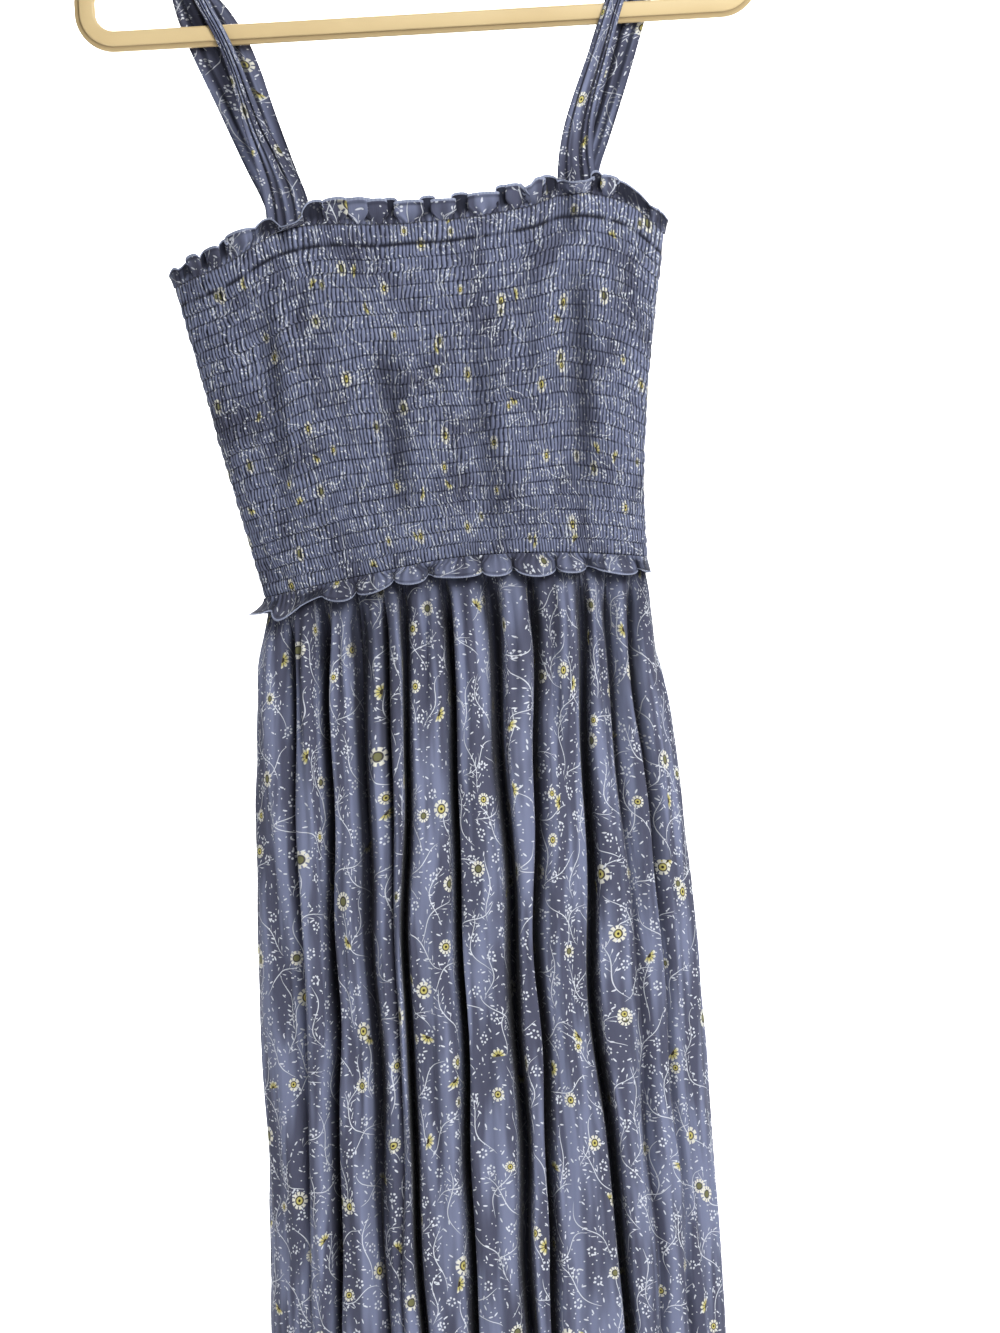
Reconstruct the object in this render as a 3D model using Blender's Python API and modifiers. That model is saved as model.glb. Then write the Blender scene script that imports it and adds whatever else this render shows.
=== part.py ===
"""A smocked sun dress hanging by its straps on a plain hanger.

The dress is a hollow garment made of thin cloth walls: two shirred bodice panels with a free
frill above and below, two gathered skirt panels, and two straps that pass over the hanger's
arms. Sizes are in millimetres, with heights measured from the middle of the hanger's bar.
The finished model is in metres, with its origin where the hook hangs on its rod.
The front of the dress faces -Y, and the tables run from -X to +X as the front is seen.
"""
import math
from collections import namedtuple

import bmesh
import bpy

MM = 0.001
FRONT = -1
BACK = 1

# Cloth
WALL = 1.3              # thickness of a cloth wall
SEAM_GAP = 0.3          # room between two pieces at a seam
EDGE_COLUMN = 0.25      # share of a column between a sheet's side edge and its next points

# Hanger
HANGER_WIDTH = 420.0
BAR_HEIGHT = 12.6
BAR_THICKNESS = 6.4
LEDGE_HEIGHT = 3.0      # thinner lip along the outside of the frame
LEDGE_THICKNESS = 3.2
CORNER_RADIUS = 18.0
SHOULDER_RADIUS = 14.0
SIDE_RISE = 6.0
ARM_SLOPE = 22.0        # degrees
NECK_RADIUS = 16.0
HOOK_WIRE = 3.8         # diameter
HOOK_RADIUS = 22.0
HOOK_STEM = 24.0

# Bodice
ROW_PITCH = 8.0         # between two shirring rows
FIRST_BAND = 12.5       # the first band under the neck frill is deeper
ROW_COUNT = 24          # rows under the first band
ROW_VALLEY = 0.5        # relief of the outer face along a shirring row
ROW_PUFF = 2.3          # relief halfway between two rows
GATHER_RELIEF = 0.5
PLAIN_ROWS = 8          # rows of points on the panel's plain inside
FRONT_GATHERS = 18
BACK_GATHERS = 12

# Skirt
HEM_LEVEL = -1130.0
SEAM_ALLOWANCE = 4.0    # the skirt's top lies this far up inside the bodice
SKIRT_SIDE_GAP = 0.5    # at the outer face, because the wall leans into its side seam

BodiceSection = namedtuple("BodiceSection", "level left right depth")
BODICE_SECTIONS = (
    BodiceSection(0.00, -158.0, 143.0, 31.0),
    BodiceSection(0.23, -148.0, 135.0, 33.0),
    BodiceSection(0.46, -138.0, 128.0, 32.0),
    BodiceSection(0.77, -124.0, 121.8, 29.0),
    BodiceSection(1.00, -113.5, 121.0, 27.0),
)

# Height of a line round the bodice, against the place across it from -1 to 1
Line = namedtuple("Line", "across front back")
NECK_LINE = (
    Line(-1.00, -153.0, -153.0),
    Line(-0.78, -143.0, -142.0),
    Line(-0.52, -125.0, -127.0),
    Line(-0.10, -126.5, -122.0),
    Line(0.20, -125.0, -120.5),
    Line(0.45, -120.0, -118.0),
    Line(0.62, -113.0, -114.0),
    Line(0.84, -119.0, -120.0),
    Line(1.00, -137.0, -137.0),
)
WAIST_LINE = (
    Line(-1.00, -346.0, -346.0),
    Line(-0.50, -337.0, -338.0),
    Line(0.00, -329.0, -332.0),
    Line(0.50, -329.0, -330.0),
    Line(1.00, -334.0, -334.0),
)

# Soft dents in the bodice, each along a slanting line
Dent = namedtuple("Dent", "face x_top z_top x_low z_low width depth")
BODICE_DENTS = (
    Dent(FRONT, 88.0, -168.0, 86.0, -318.0, 13.0, 5.0),
    Dent(FRONT, 34.0, -215.0, 36.0, -335.0, 11.0, 3.0),
    Dent(FRONT, -30.0, -235.0, -26.0, -305.0, 10.0, 2.5),
    Dent(FRONT, -99.0, -220.0, -98.0, -305.0, 8.0, 2.5),
    Dent(FRONT, -62.0, -175.0, -52.0, -245.0, 15.0, 2.0),
    Dent(BACK, -72.0, -180.0, -60.0, -300.0, 13.0, 3.5),
    Dent(BACK, 8.0, -190.0, 12.0, -325.0, 12.0, 3.0),
    Dent(BACK, 80.0, -170.0, 74.0, -260.0, 12.0, 3.0),
)

# Free height of the neck frill over the first shirring row
FrillHeight = namedtuple("FrillHeight", "across front back")
NECK_FRILL = (
    FrillHeight(-1.00, 9.0, 9.0),
    FrillHeight(-0.92, 13.0, 12.0),
    FrillHeight(-0.66, 14.0, 13.0),
    FrillHeight(-0.52, 7.0, 13.0),
    FrillHeight(-0.40, 14.5, 14.0),
    FrillHeight(0.15, 15.0, 15.0),
    FrillHeight(0.50, 15.0, 14.0),
    FrillHeight(0.63, 10.0, 13.0),
    FrillHeight(0.74, 14.0, 14.0),
    FrillHeight(1.00, 10.0, 10.0),
)
NECK_FRILL_FLARE = 3.5
NECK_FRILL_SWING = 4.5
WAIST_FRILL_DROP = (
    FrillHeight(-1.00, 11.0, 11.0),
    FrillHeight(-0.88, 15.5, 14.0),
    FrillHeight(-0.68, 11.0, 13.0),
    FrillHeight(-0.52, 13.5, 14.0),
    FrillHeight(-0.35, 9.5, 13.0),
    FrillHeight(-0.05, 13.0, 12.0),
    FrillHeight(0.55, 13.0, 14.0),
    FrillHeight(1.00, 12.0, 12.0),
)
WAIST_FRILL_FLARE = 4.0
WAIST_FRILL_SWING = 5.0

SkirtSection = namedtuple("SkirtSection", "z left right depth")
SKIRT_SECTIONS = (
    SkirtSection(-320.0, -113.5, 121.0, 27.0),
    SkirtSection(-352.0, -113.5, 121.0, 27.0),
    SkirtSection(-385.0, -117.0, 122.0, 31.0),
    SkirtSection(-420.0, -121.0, 127.0, 35.0),
    SkirtSection(-480.0, -125.0, 130.0, 40.0),
    SkirtSection(-600.0, -128.0, 136.0, 47.0),
    SkirtSection(-700.0, -129.5, 138.5, 51.0),
    SkirtSection(-800.0, -134.0, 139.0, 55.0),
    SkirtSection(-960.0, -140.0, 145.0, 60.0),
    SkirtSection(-1130.0, -147.0, 152.0, 66.0),
)

# Valleys of the skirt's folds: where they run at three heights, and how deep they are there
Fold = namedtuple("Fold", "x_waist x_knee x_hem deep_waist deep_knee deep_hem")
FOLD_LEVELS = (-371.0, -585.0, -800.0)
FRONT_FOLDS = (
    Fold(-101.0, -104.0, -109.0, 4.0, 3.0, 2.0),
    Fold(-80.0, -85.0, -94.0, 6.0, 8.0, 13.0),
    Fold(-59.0, -61.0, -62.0, 6.0, 8.0, 5.0),
    Fold(-43.0, -46.0, -52.0, 6.0, 2.0, 1.0),
    Fold(-28.0, -38.0, -41.0, 6.0, 10.0, 12.0),
    Fold(-3.0, -8.0, -11.0, 7.0, 11.0, 13.0),
    Fold(24.0, 25.0, 23.0, 6.0, 12.0, 9.0),
    Fold(50.0, 42.0, 39.0, 7.0, 10.0, 13.0),
    Fold(78.0, 73.0, 82.0, 5.0, 11.0, 12.0),
    Fold(96.0, 101.0, 104.0, 4.0, 3.0, 3.0),
    Fold(110.0, 117.0, 121.0, 5.0, 4.0, 3.0),
)
BACK_FOLDS = (
    Fold(-96.0, -102.0, -106.0, 5.0, 5.0, 7.0),
    Fold(-74.0, -80.0, -82.0, 6.0, 9.0, 11.0),
    Fold(-52.0, -50.0, -56.0, 5.0, 6.0, 4.0),
    Fold(-26.0, -29.0, -31.0, 7.0, 11.0, 13.0),
    Fold(2.0, 4.0, 1.0, 6.0, 9.0, 10.0),
    Fold(28.0, 31.0, 34.0, 6.0, 5.0, 8.0),
    Fold(52.0, 56.0, 60.0, 7.0, 12.0, 13.0),
    Fold(76.0, 84.0, 86.0, 5.0, 6.0, 7.0),
    Fold(102.0, 108.0, 112.0, 5.0, 5.0, 6.0),
)
FOLD_BULGE = 3.0
WAIST_GATHER = 3.5      # depth of the small gathers between the folds at the waist
WAIST_GATHER_REACH = 60.0
FOLD_ONSET = 45.0       # under the waist, where the folds have their full depth
SEAM_EASE = 24.0        # under the waist, where the skirt leaves the inside of the bodice's line
UNDER_SEAM = 3.0        # drop of the second row of points, just below the seam
ROW_CROWDING = 1.9      # brings the rows of points closer together near the waist
FRONT_SKIRT_ROWS = 12
BACK_SKIRT_ROWS = 10

# Stations of a strap: height, edges seen from the front, depth, and how far it lies on the bodice
StrapStation = namedtuple("StrapStation", "z left right y hug")
LEFT_FRONT_RUN = (
    StrapStation(-136.0, -98.0, -74.0, -20.0, 1.0),
    StrapStation(-122.0, -98.0, -73.0, -20.0, 1.0),
    StrapStation(-106.0, -99.0, -74.0, -20.0, 0.9),
    StrapStation(-86.0, -103.0, -82.0, -15.0, 0.3),
    StrapStation(-58.0, -110.0, -96.0, -10.5, 0.0),
    StrapStation(-30.0, -116.0, -106.0, -7.5, 0.0),
    StrapStation(-8.0, -122.0, -113.5, -5.7, 0.0),
    StrapStation(14.0, -132.5, -124.0, -5.7, 0.0),
    StrapStation(38.0, -143.0, -132.0, -5.7, 0.0),
)
LEFT_BACK_RUN = (
    StrapStation(36.0, -152.0, -130.0, 5.7, 0.0),
    StrapStation(14.0, -148.0, -114.0, 5.7, 0.0),
    StrapStation(-10.0, -140.0, -102.0, 5.7, 0.0),
    StrapStation(-34.0, -130.0, -95.0, 8.5, 0.0),
    StrapStation(-58.0, -120.5, -88.0, 11.5, 0.0),
    StrapStation(-84.0, -110.0, -80.0, 16.0, 0.3),
    StrapStation(-108.0, -100.0, -73.0, 20.0, 0.9),
    StrapStation(-124.0, -98.0, -73.0, 20.0, 1.0),
    StrapStation(-138.0, -98.0, -74.0, 20.0, 1.0),
)
RIGHT_FRONT_RUN = (
    StrapStation(-125.0, 80.0, 104.0, -20.0, 1.0),
    StrapStation(-110.0, 79.0, 104.0, -20.0, 1.0),
    StrapStation(-94.0, 80.0, 102.0, -20.0, 0.9),
    StrapStation(-74.0, 84.0, 103.0, -14.5, 0.3),
    StrapStation(-48.0, 93.0, 109.0, -10.0, 0.0),
    StrapStation(-24.0, 103.0, 117.0, -7.0, 0.0),
    StrapStation(-6.0, 110.0, 122.0, -5.7, 0.0),
    StrapStation(16.0, 119.0, 131.0, -5.7, 0.0),
    StrapStation(38.0, 129.0, 142.0, -5.7, 0.0),
)
RIGHT_BACK_RUN = (
    StrapStation(36.0, 127.0, 150.0, 5.7, 0.0),
    StrapStation(16.0, 118.0, 146.0, 5.7, 0.0),
    StrapStation(-6.0, 109.0, 138.5, 5.7, 0.0),
    StrapStation(-28.0, 101.0, 131.0, 8.5, 0.0),
    StrapStation(-50.0, 94.0, 123.0, 11.5, 0.0),
    StrapStation(-76.0, 86.0, 113.0, 16.0, 0.3),
    StrapStation(-98.0, 80.0, 105.0, 20.0, 0.9),
    StrapStation(-114.0, 80.0, 104.0, 20.0, 1.0),
    StrapStation(-128.0, 80.0, 104.0, 20.0, 1.0),
)
STRAP_RIDGE = 0.8
STRAP_STEPS = 9         # rows of points on each run

# How a strap goes over the hanger's arm: depth, height over the arm's middle, share of the way
CrestStation = namedtuple("CrestStation", "y rise share")
CREST = (
    CrestStation(-5.7, -10.0, 0.10),
    CrestStation(-5.7, 3.0, 0.25),
    CrestStation(-4.9, 7.0, 0.35),
    CrestStation(-2.6, 9.1, 0.45),
    CrestStation(0.0, 9.5, 0.50),
    CrestStation(2.6, 9.1, 0.55),
    CrestStation(4.9, 7.0, 0.65),
    CrestStation(5.7, 3.0, 0.75),
    CrestStation(5.7, -10.0, 0.90),
)


def blend(start, end, share):
    """Value between start and end at a share from 0 to 1."""
    return start + (end - start) * share


def ease(share):
    """Smooth step from 0 to 1, held outside that range."""
    share = min(max(share, 0.0), 1.0)
    return share * share * (3.0 - 2.0 * share)


def look_up(rows, column, at):
    """Smooth curve through one named column of a table, read at a value of its first column."""
    keys = [row[0] for row in rows]
    values = [getattr(row, column) for row in rows]
    if (at - keys[0]) * (keys[-1] - keys[0]) <= 0.0:
        return values[0]
    for index in range(len(rows) - 1):
        if (at - keys[index]) * (at - keys[index + 1]) <= 0.0:
            break
    else:
        return values[-1]

    def slope(place):
        low = max(place - 1, 0)
        high = min(place + 1, len(rows) - 1)
        return (values[high] - values[low]) / (keys[high] - keys[low])

    span = keys[index + 1] - keys[index]
    share = (at - keys[index]) / span
    rest = 1.0 - share
    return (values[index] * (1.0 + 2.0 * share) * rest * rest
            + slope(index) * span * share * rest * rest
            + values[index + 1] * (3.0 - 2.0 * share) * share * share
            - slope(index + 1) * span * share * share * rest)


def side_name(face):
    return "front" if face == FRONT else "back"


def ring_point(face, angle, left, right, depth, z, inset):
    """Point on a flattened ring, moved inwards by inset along the ring's normal."""
    middle = (left + right) / 2.0
    half = (right - left) / 2.0
    normal_x = math.sin(angle) / half
    normal_y = face * math.cos(angle) / depth
    length = math.hypot(normal_x, normal_y)
    x = middle + half * math.sin(angle) - inset * normal_x / length
    y = face * depth * math.cos(angle) - inset * normal_y / length
    return x, y, z


def dent_depth(face, x, z):
    """How far the bodice's soft dents push its wall in."""
    total = 0.0
    for dent in BODICE_DENTS:
        if dent.face != face:
            continue
        along = (z - dent.z_top) / (dent.z_low - dent.z_top)
        off_line = abs(x - blend(dent.x_top, dent.x_low, along)) / dent.width
        if off_line < 1.0 and -0.15 < along < 1.0:
            fade = ease((along + 0.15) / 0.25) * ease((1.0 - along) / 0.4)
            total += dent.depth * fade * (1.0 - ease(off_line))
    return total


def bodice_point(face, angle, level, relief):
    """Point of a bodice panel. Level runs from 0 at the neck to 1 at the waist."""
    across = math.sin(angle)
    side = side_name(face)
    z = blend(look_up(NECK_LINE, side, across), look_up(WAIST_LINE, side, across), level)
    left = look_up(BODICE_SECTIONS, "left", level)
    right = look_up(BODICE_SECTIONS, "right", level)
    depth = look_up(BODICE_SECTIONS, "depth", level)
    x = blend(left, right, (across + 1.0) / 2.0)
    return ring_point(face, angle, left, right, depth, z, dent_depth(face, x, z) - relief)


def bodice_face_at(face, x, z, inset):
    """Depth of the bodice's wall at a place seen from the front, inset from its base face."""
    level = 0.0
    for _ in range(4):
        left = look_up(BODICE_SECTIONS, "left", level)
        right = look_up(BODICE_SECTIONS, "right", level)
        across = (2.0 * x - left - right) / (right - left)
        neck = look_up(NECK_LINE, side_name(face), across)
        waist = look_up(WAIST_LINE, side_name(face), across)
        level = (z - neck) / (waist - neck)
    angle = math.asin(min(max(across, -1.0), 1.0))
    depth = look_up(BODICE_SECTIONS, "depth", level)
    inward = inset + dent_depth(face, x, z)
    return face * (depth * math.cos(angle) - inward)


def seam_angle(share, depth, gap=SEAM_GAP):
    """Angle round a half ring for a share from 0 to 1, stopping short of the side seams."""
    margin = math.asin(gap / 2.0 / depth)
    return blend(margin - math.pi / 2.0, math.pi / 2.0 - margin, share)


def placed(point):
    """Millimetres above the bar to metres below the hook's rest."""
    x, y, z = point
    return x * MM, y * MM, (z - hook_rest_height()) * MM


def collection_for(name):
    found = bpy.data.collections.get(name)
    if found is None:
        found = bpy.data.collections.new(name)
        bpy.context.scene.collection.children.link(found)
    return found


def material(name, colour, roughness, metallic):
    made = bpy.data.materials.get(name)
    if made is None:
        made = bpy.data.materials.new(name)
        made.use_nodes = True
        shader = made.node_tree.nodes["Principled BSDF"]
        shader.inputs["Base Color"].default_value = (*colour, 1.0)
        shader.inputs["Roughness"].default_value = roughness
        shader.inputs["Metallic"].default_value = metallic
    return made


def finish_object(name, mesh_or_curve, finish):
    made = bpy.data.objects.new(name, mesh_or_curve)
    made.data.materials.append(finish)
    collection_for("smocked dress on a hanger").objects.link(made)
    return made


def mesh_object(name, mesh, finish):
    """Object from a bmesh, with its faces turned outwards and smooth."""
    data = bpy.data.meshes.new(name)
    mesh.to_mesh(data)
    mesh.free()
    data.shade_smooth()
    data.set_sharp_from_angle(angle=math.radians(50.0))
    return finish_object(name, data, finish)


def cloth_sheet(name, columns, rows, surface, finish, thickness=WALL):
    """Open surface with Solidify. The surface gives a point for shares across and along it.

    One more column lies close to each side edge, so that the wall ends square at its seams.
    """
    mesh = bmesh.new()
    bmesh.ops.create_grid(mesh, x_segments=columns + 2, y_segments=rows, size=0.5)
    for corner in mesh.verts:
        column = round((corner.co.x + 0.5) * (columns + 2))
        column = min(max(column - 1, EDGE_COLUMN), columns - EDGE_COLUMN)
        if abs(corner.co.x) > 0.4999:
            column = 0 if corner.co.x < 0.0 else columns
        corner.co = placed(surface(column / columns, 0.5 - corner.co.y))
    made = mesh_object(name, mesh, finish)
    shell = made.modifiers.new("cloth thickness", "SOLIDIFY")
    shell.thickness = thickness * MM
    shell.offset = -1.0
    return made


def zip_together(mesh, first, second):
    """Triangles between two rows of points that hold different numbers of them."""
    place = 0
    other = 0
    while place < len(first) - 1 or other < len(second) - 1:
        next_place = (place + 1) / (len(first) - 1)
        next_other = (other + 1) / (len(second) - 1)
        if next_place <= next_other:
            mesh.faces.new((first[place], first[place + 1], second[other]))
            place += 1
        else:
            mesh.faces.new((first[place], second[other + 1], second[other]))
            other += 1


def point_grid(mesh, columns, levels, surface):
    """Quads over a surface, given as rows of points from the top down."""
    rows = []
    for level in levels:
        rows.append([mesh.verts.new(placed(surface(place / columns, level)))
                     for place in range(columns + 1)])
    for upper, lower in zip(rows, rows[1:]):
        for place in range(columns):
            mesh.faces.new((upper[place], lower[place], lower[place + 1], upper[place + 1]))
    return rows


def border(rows):
    """The four edges of a grid of points."""
    return rows[0], rows[-1], [row[0] for row in rows], [row[-1] for row in rows]


def relief_wall(name, columns, levels, outer, plain_levels, inner, finish):
    """Wall with a fine outer face over a plain inner one, lofted together round its edges."""
    mesh = bmesh.new()
    outside = point_grid(mesh, columns, levels, outer)
    inside = point_grid(mesh, columns, plain_levels, inner)
    for outer_edge, inner_edge in zip(border(outside), border(inside)):
        zip_together(mesh, outer_edge, inner_edge)
    bmesh.ops.recalc_face_normals(mesh, faces=mesh.faces)
    return mesh_object(name, mesh, finish)


def row_distances():
    """Distance of each shirring row under the neck, and of the puffs halfway between."""
    rows = [0.0, FIRST_BAND]
    for _ in range(ROW_COUNT - 1):
        rows.append(rows[-1] + ROW_PITCH)
    halfway = [(above + below) / 2.0 for above, below in zip(rows, rows[1:])]
    return sorted(rows + halfway)


def make_bodice_panel(face, gathers, finish):
    """Smocked panel: puffs between the shirring rows and upright gathers on its outer face."""
    distances = row_distances()
    levels = [distance / distances[-1] for distance in distances]
    columns = gathers * 2
    inner_levels = [step / PLAIN_ROWS for step in range(PLAIN_ROWS + 1)]
    row_of = {level: number for number, level in enumerate(levels)}

    def outer(share, level):
        puffed = row_of[level] % 2
        gathered = round(share * columns) % 2
        relief = ROW_PUFF if puffed else ROW_VALLEY
        relief -= GATHER_RELIEF * gathered
        depth = look_up(BODICE_SECTIONS, "depth", level)
        return bodice_point(face, seam_angle(share, depth), level, relief)

    def inner(share, level):
        depth = look_up(BODICE_SECTIONS, "depth", level)
        return bodice_point(face, seam_angle(share, depth), level, -WALL)

    return relief_wall(f"bodice_{side_name(face)}", columns, levels, outer,
                       inner_levels, inner, finish)


def frill_point(face, share, level, gathers, outward):
    """Place over a panel's edge, which runs straight from one gather's point to the next."""
    columns = gathers * 2
    place = min(int(share * columns), columns - 1)
    depth = look_up(BODICE_SECTIONS, "depth", level)
    before = bodice_point(face, seam_angle(place / columns, depth), level, 0.0)
    after = bodice_point(face, seam_angle((place + 1) / columns, depth), level, 0.0)
    x, y, _ = bodice_point(face, seam_angle(share, depth), level, outward)
    return x, y, blend(before[2], after[2], share * columns - place)


def make_neck_frill(face, gathers, finish):
    """Free header over the first shirring row, in a small arched wave for each gather."""
    side = side_name(face)
    waves = gathers

    def surface(share, down):
        up = 1.0 - down
        angle = seam_angle(share, BODICE_SECTIONS[0].depth)
        height = look_up(NECK_FRILL, side, math.sin(angle))
        phase = (share * waves + 0.3 * math.sin(share * 4.0 * math.pi)) * 2.0 * math.pi
        wave = 0.5 - 0.5 * math.cos(phase)
        outward = up * (NECK_FRILL_FLARE + NECK_FRILL_SWING * wave)
        x, y, z = frill_point(face, share, 0.0, gathers, outward)
        return x, y, z + SEAM_GAP + up * height * (0.86 + 0.14 * wave)

    return cloth_sheet(f"neck_frill_{side}", waves * 4, 2, surface_facing(face, surface), finish)


def make_waist_frill(face, gathers, finish):
    """Free lower header of the bodice, hanging over the skirt's seam."""
    side = side_name(face)
    waves = gathers // 2

    def surface(share, down):
        angle = seam_angle(share, BODICE_SECTIONS[-1].depth)
        drop = look_up(WAIST_FRILL_DROP, side, math.sin(angle))
        phase = (share * waves + 0.3 * math.sin(share * 6.0 * math.pi)) * 2.0 * math.pi
        wave = 0.5 - 0.5 * math.cos(phase)
        outward = down * (WAIST_FRILL_FLARE + WAIST_FRILL_SWING * wave)
        x, y, z = frill_point(face, share, 1.0, gathers, outward)
        return x, y, z - SEAM_GAP - down * drop * (1.0 - 0.15 * wave)

    return cloth_sheet(f"waist_frill_{side}", gathers * 2, 2, surface_facing(face, surface), finish)


def surface_facing(face, surface):
    """The same surface with its normals outwards, as a back panel runs the other way round."""
    if face == FRONT:
        return surface
    return lambda share, along: surface(1.0 - share, along)


def fold_value(fold, prefix, z):
    """A fold's place or depth at a height, from its values at the three levels."""
    values = [getattr(fold, f"{prefix}_{name}") for name in ("waist", "knee", "hem")]
    upper, middle, lower = FOLD_LEVELS
    if z > middle:
        return blend(values[0], values[1], ease((upper - z) / (upper - middle)))
    return blend(values[1], values[2], ease((middle - z) / (middle - lower)))


def make_skirt_panel(face, folds, rows, finish):
    """Gathered panel whose columns of points run along its folds and the ridges between."""
    side = side_name(face)
    steps = 4
    columns = (len(folds) + 1) * steps

    def surface(share, down):
        pitch = min(int(share * (len(folds) + 1)), len(folds))
        part = share * (len(folds) + 1) - pitch

        def angle_at(z):
            """Angle of this column at a height, and how deep the wall lies in its fold."""
            left = look_up(SKIRT_SECTIONS, "left", z)
            right = look_up(SKIRT_SECTIONS, "right", z)
            limit = seam_angle(1.0, look_up(SKIRT_SECTIONS, "depth", z), SKIRT_SIDE_GAP)
            ends = []
            for number in (pitch - 1, pitch):
                if 0 <= number < len(folds):
                    across = (2.0 * fold_value(folds[number], "x", z) - left - right) / (right - left)
                    ends.append((math.asin(across), fold_value(folds[number], "deep", z)))
                else:
                    ends.append((limit if number >= 0 else -limit, 0.0))
            before, after = ends
            return blend(before[0], after[0], part), blend(before[1], after[1], ease(part))

        rough_top = look_up(WAIST_LINE, side, 0.0)
        waist_angle, _ = angle_at(rough_top)
        waist = look_up(WAIST_LINE, side, math.sin(waist_angle))
        row = round(down * rows)
        if row == 0:
            z = waist + SEAM_ALLOWANCE
        else:
            z = blend(waist - UNDER_SEAM, HEM_LEVEL, ((row - 1) / (rows - 1)) ** ROW_CROWDING)
        angle, deep = angle_at(z)
        below_seam = waist - z
        opened = ease(below_seam / FOLD_ONSET)
        ridge = math.sin(math.pi * part) ** 2
        gathered = max(0.0, 1.0 - steps * abs(part - 0.5))
        gathered *= 1.0 - ease(below_seam / WAIST_GATHER_REACH)
        inset = opened * (deep * (1.0 - ridge) - FOLD_BULGE * ridge + WAIST_GATHER * gathered)
        inset += (WALL + SEAM_GAP) * (1.0 - ease(below_seam / SEAM_EASE))
        left = look_up(SKIRT_SECTIONS, "left", z)
        right = look_up(SKIRT_SECTIONS, "right", z)
        depth = look_up(SKIRT_SECTIONS, "depth", z)
        return ring_point(face, angle, left, right, depth, z, inset)

    return cloth_sheet(f"skirt_{side}", columns, rows, surface_facing(face, surface), finish)


def arm_middle(x):
    """Height of the hanger arm's middle at a place across it."""
    slope = math.radians(ARM_SLOPE)
    shoulder_x = HANGER_WIDTH / 2.0 - BAR_HEIGHT / 2.0 - SHOULDER_RADIUS
    turn = math.pi / 2.0 - slope
    start_x = shoulder_x + SHOULDER_RADIUS * math.cos(turn)
    start_z = CORNER_RADIUS + SIDE_RISE + SHOULDER_RADIUS * math.sin(turn)
    return start_z + (start_x - abs(x)) * math.tan(slope)


def make_strap(side, front_run, back_run, finish):
    """One strip: up in front of the bar, over the arm, and down behind it."""
    columns = 6
    steps = [step / STRAP_STEPS for step in range(STRAP_STEPS + 1)]

    def run_point(face, run, z, share):
        x = blend(look_up(run, "left", z), look_up(run, "right", z), share)
        hug = look_up(run, "hug", z)
        ridge = face * STRAP_RIDGE * math.sin(share * columns * math.pi / 2.0)
        on_cloth = bodice_face_at(face, x, z, WALL + SEAM_GAP)
        return x, blend(look_up(run, "y", z) + ridge, on_cloth, hug), z

    def crest_point(station, share):
        front_x = blend(front_run[-1].left, front_run[-1].right, share)
        back_x = blend(back_run[0].left, back_run[0].right, share)
        x = blend(front_x, back_x, station.share)
        return x, station.y, arm_middle(x) + station.rise

    rows = []
    for step in steps:
        z = blend(front_run[0].z, front_run[-1].z, step)
        rows.append(lambda share, z=z: run_point(FRONT, front_run, z, share))
    for station in CREST:
        rows.append(lambda share, station=station: crest_point(station, share))
    for step in steps:
        z = blend(back_run[0].z, back_run[-1].z, step)
        rows.append(lambda share, z=z: run_point(BACK, back_run, z, share))

    def surface(share, down):
        return rows[round(down * (len(rows) - 1))](1.0 - share)

    return cloth_sheet(f"strap_{side}", columns, len(rows) - 1, surface, finish)


def frame_path():
    """Middle line of the hanger's frame, with the outward direction at each point."""
    half = HANGER_WIDTH / 2.0 - BAR_HEIGHT / 2.0
    slope = math.radians(ARM_SLOPE)
    arc_steps = 5
    path = []
    corner_x = half - CORNER_RADIUS
    for step in range(arc_steps + 1):
        turn = blend(-math.pi / 2.0, 0.0, step / arc_steps)
        path.append((corner_x + CORNER_RADIUS * math.cos(turn),
                     CORNER_RADIUS + CORNER_RADIUS * math.sin(turn), turn))
    shoulder_x = half - SHOULDER_RADIUS
    shoulder_z = CORNER_RADIUS + SIDE_RISE
    for step in range(arc_steps + 1):
        turn = blend(0.0, math.pi / 2.0 - slope, step / arc_steps)
        path.append((shoulder_x + SHOULDER_RADIUS * math.cos(turn),
                     shoulder_z + SHOULDER_RADIUS * math.sin(turn), turn))
    neck_x = NECK_RADIUS * math.sin(slope)
    neck_z = arm_middle(neck_x) - NECK_RADIUS * math.cos(slope)
    for step in range(arc_steps):
        turn = blend(math.pi / 2.0 - slope, math.pi / 2.0, step / arc_steps)
        path.append((NECK_RADIUS * math.cos(turn), neck_z + NECK_RADIUS * math.sin(turn), turn))
    crown = [(0.0, neck_z + NECK_RADIUS, math.pi / 2.0)]
    mirrored = [(-x, z, math.pi - turn) for x, z, turn in reversed(path)]
    return path + crown + mirrored


def frame_top():
    """Height of the top of the frame at its neck."""
    return max(z for _, z, _ in frame_path()) + BAR_HEIGHT / 2.0


def hook_middle():
    return frame_top() + SEAM_GAP + HOOK_STEM + HOOK_RADIUS * 1.25


def hook_rest_height():
    """Height over the bar at which the hook rests on its rod."""
    return hook_middle() + HOOK_RADIUS - HOOK_WIRE / 2.0


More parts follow.
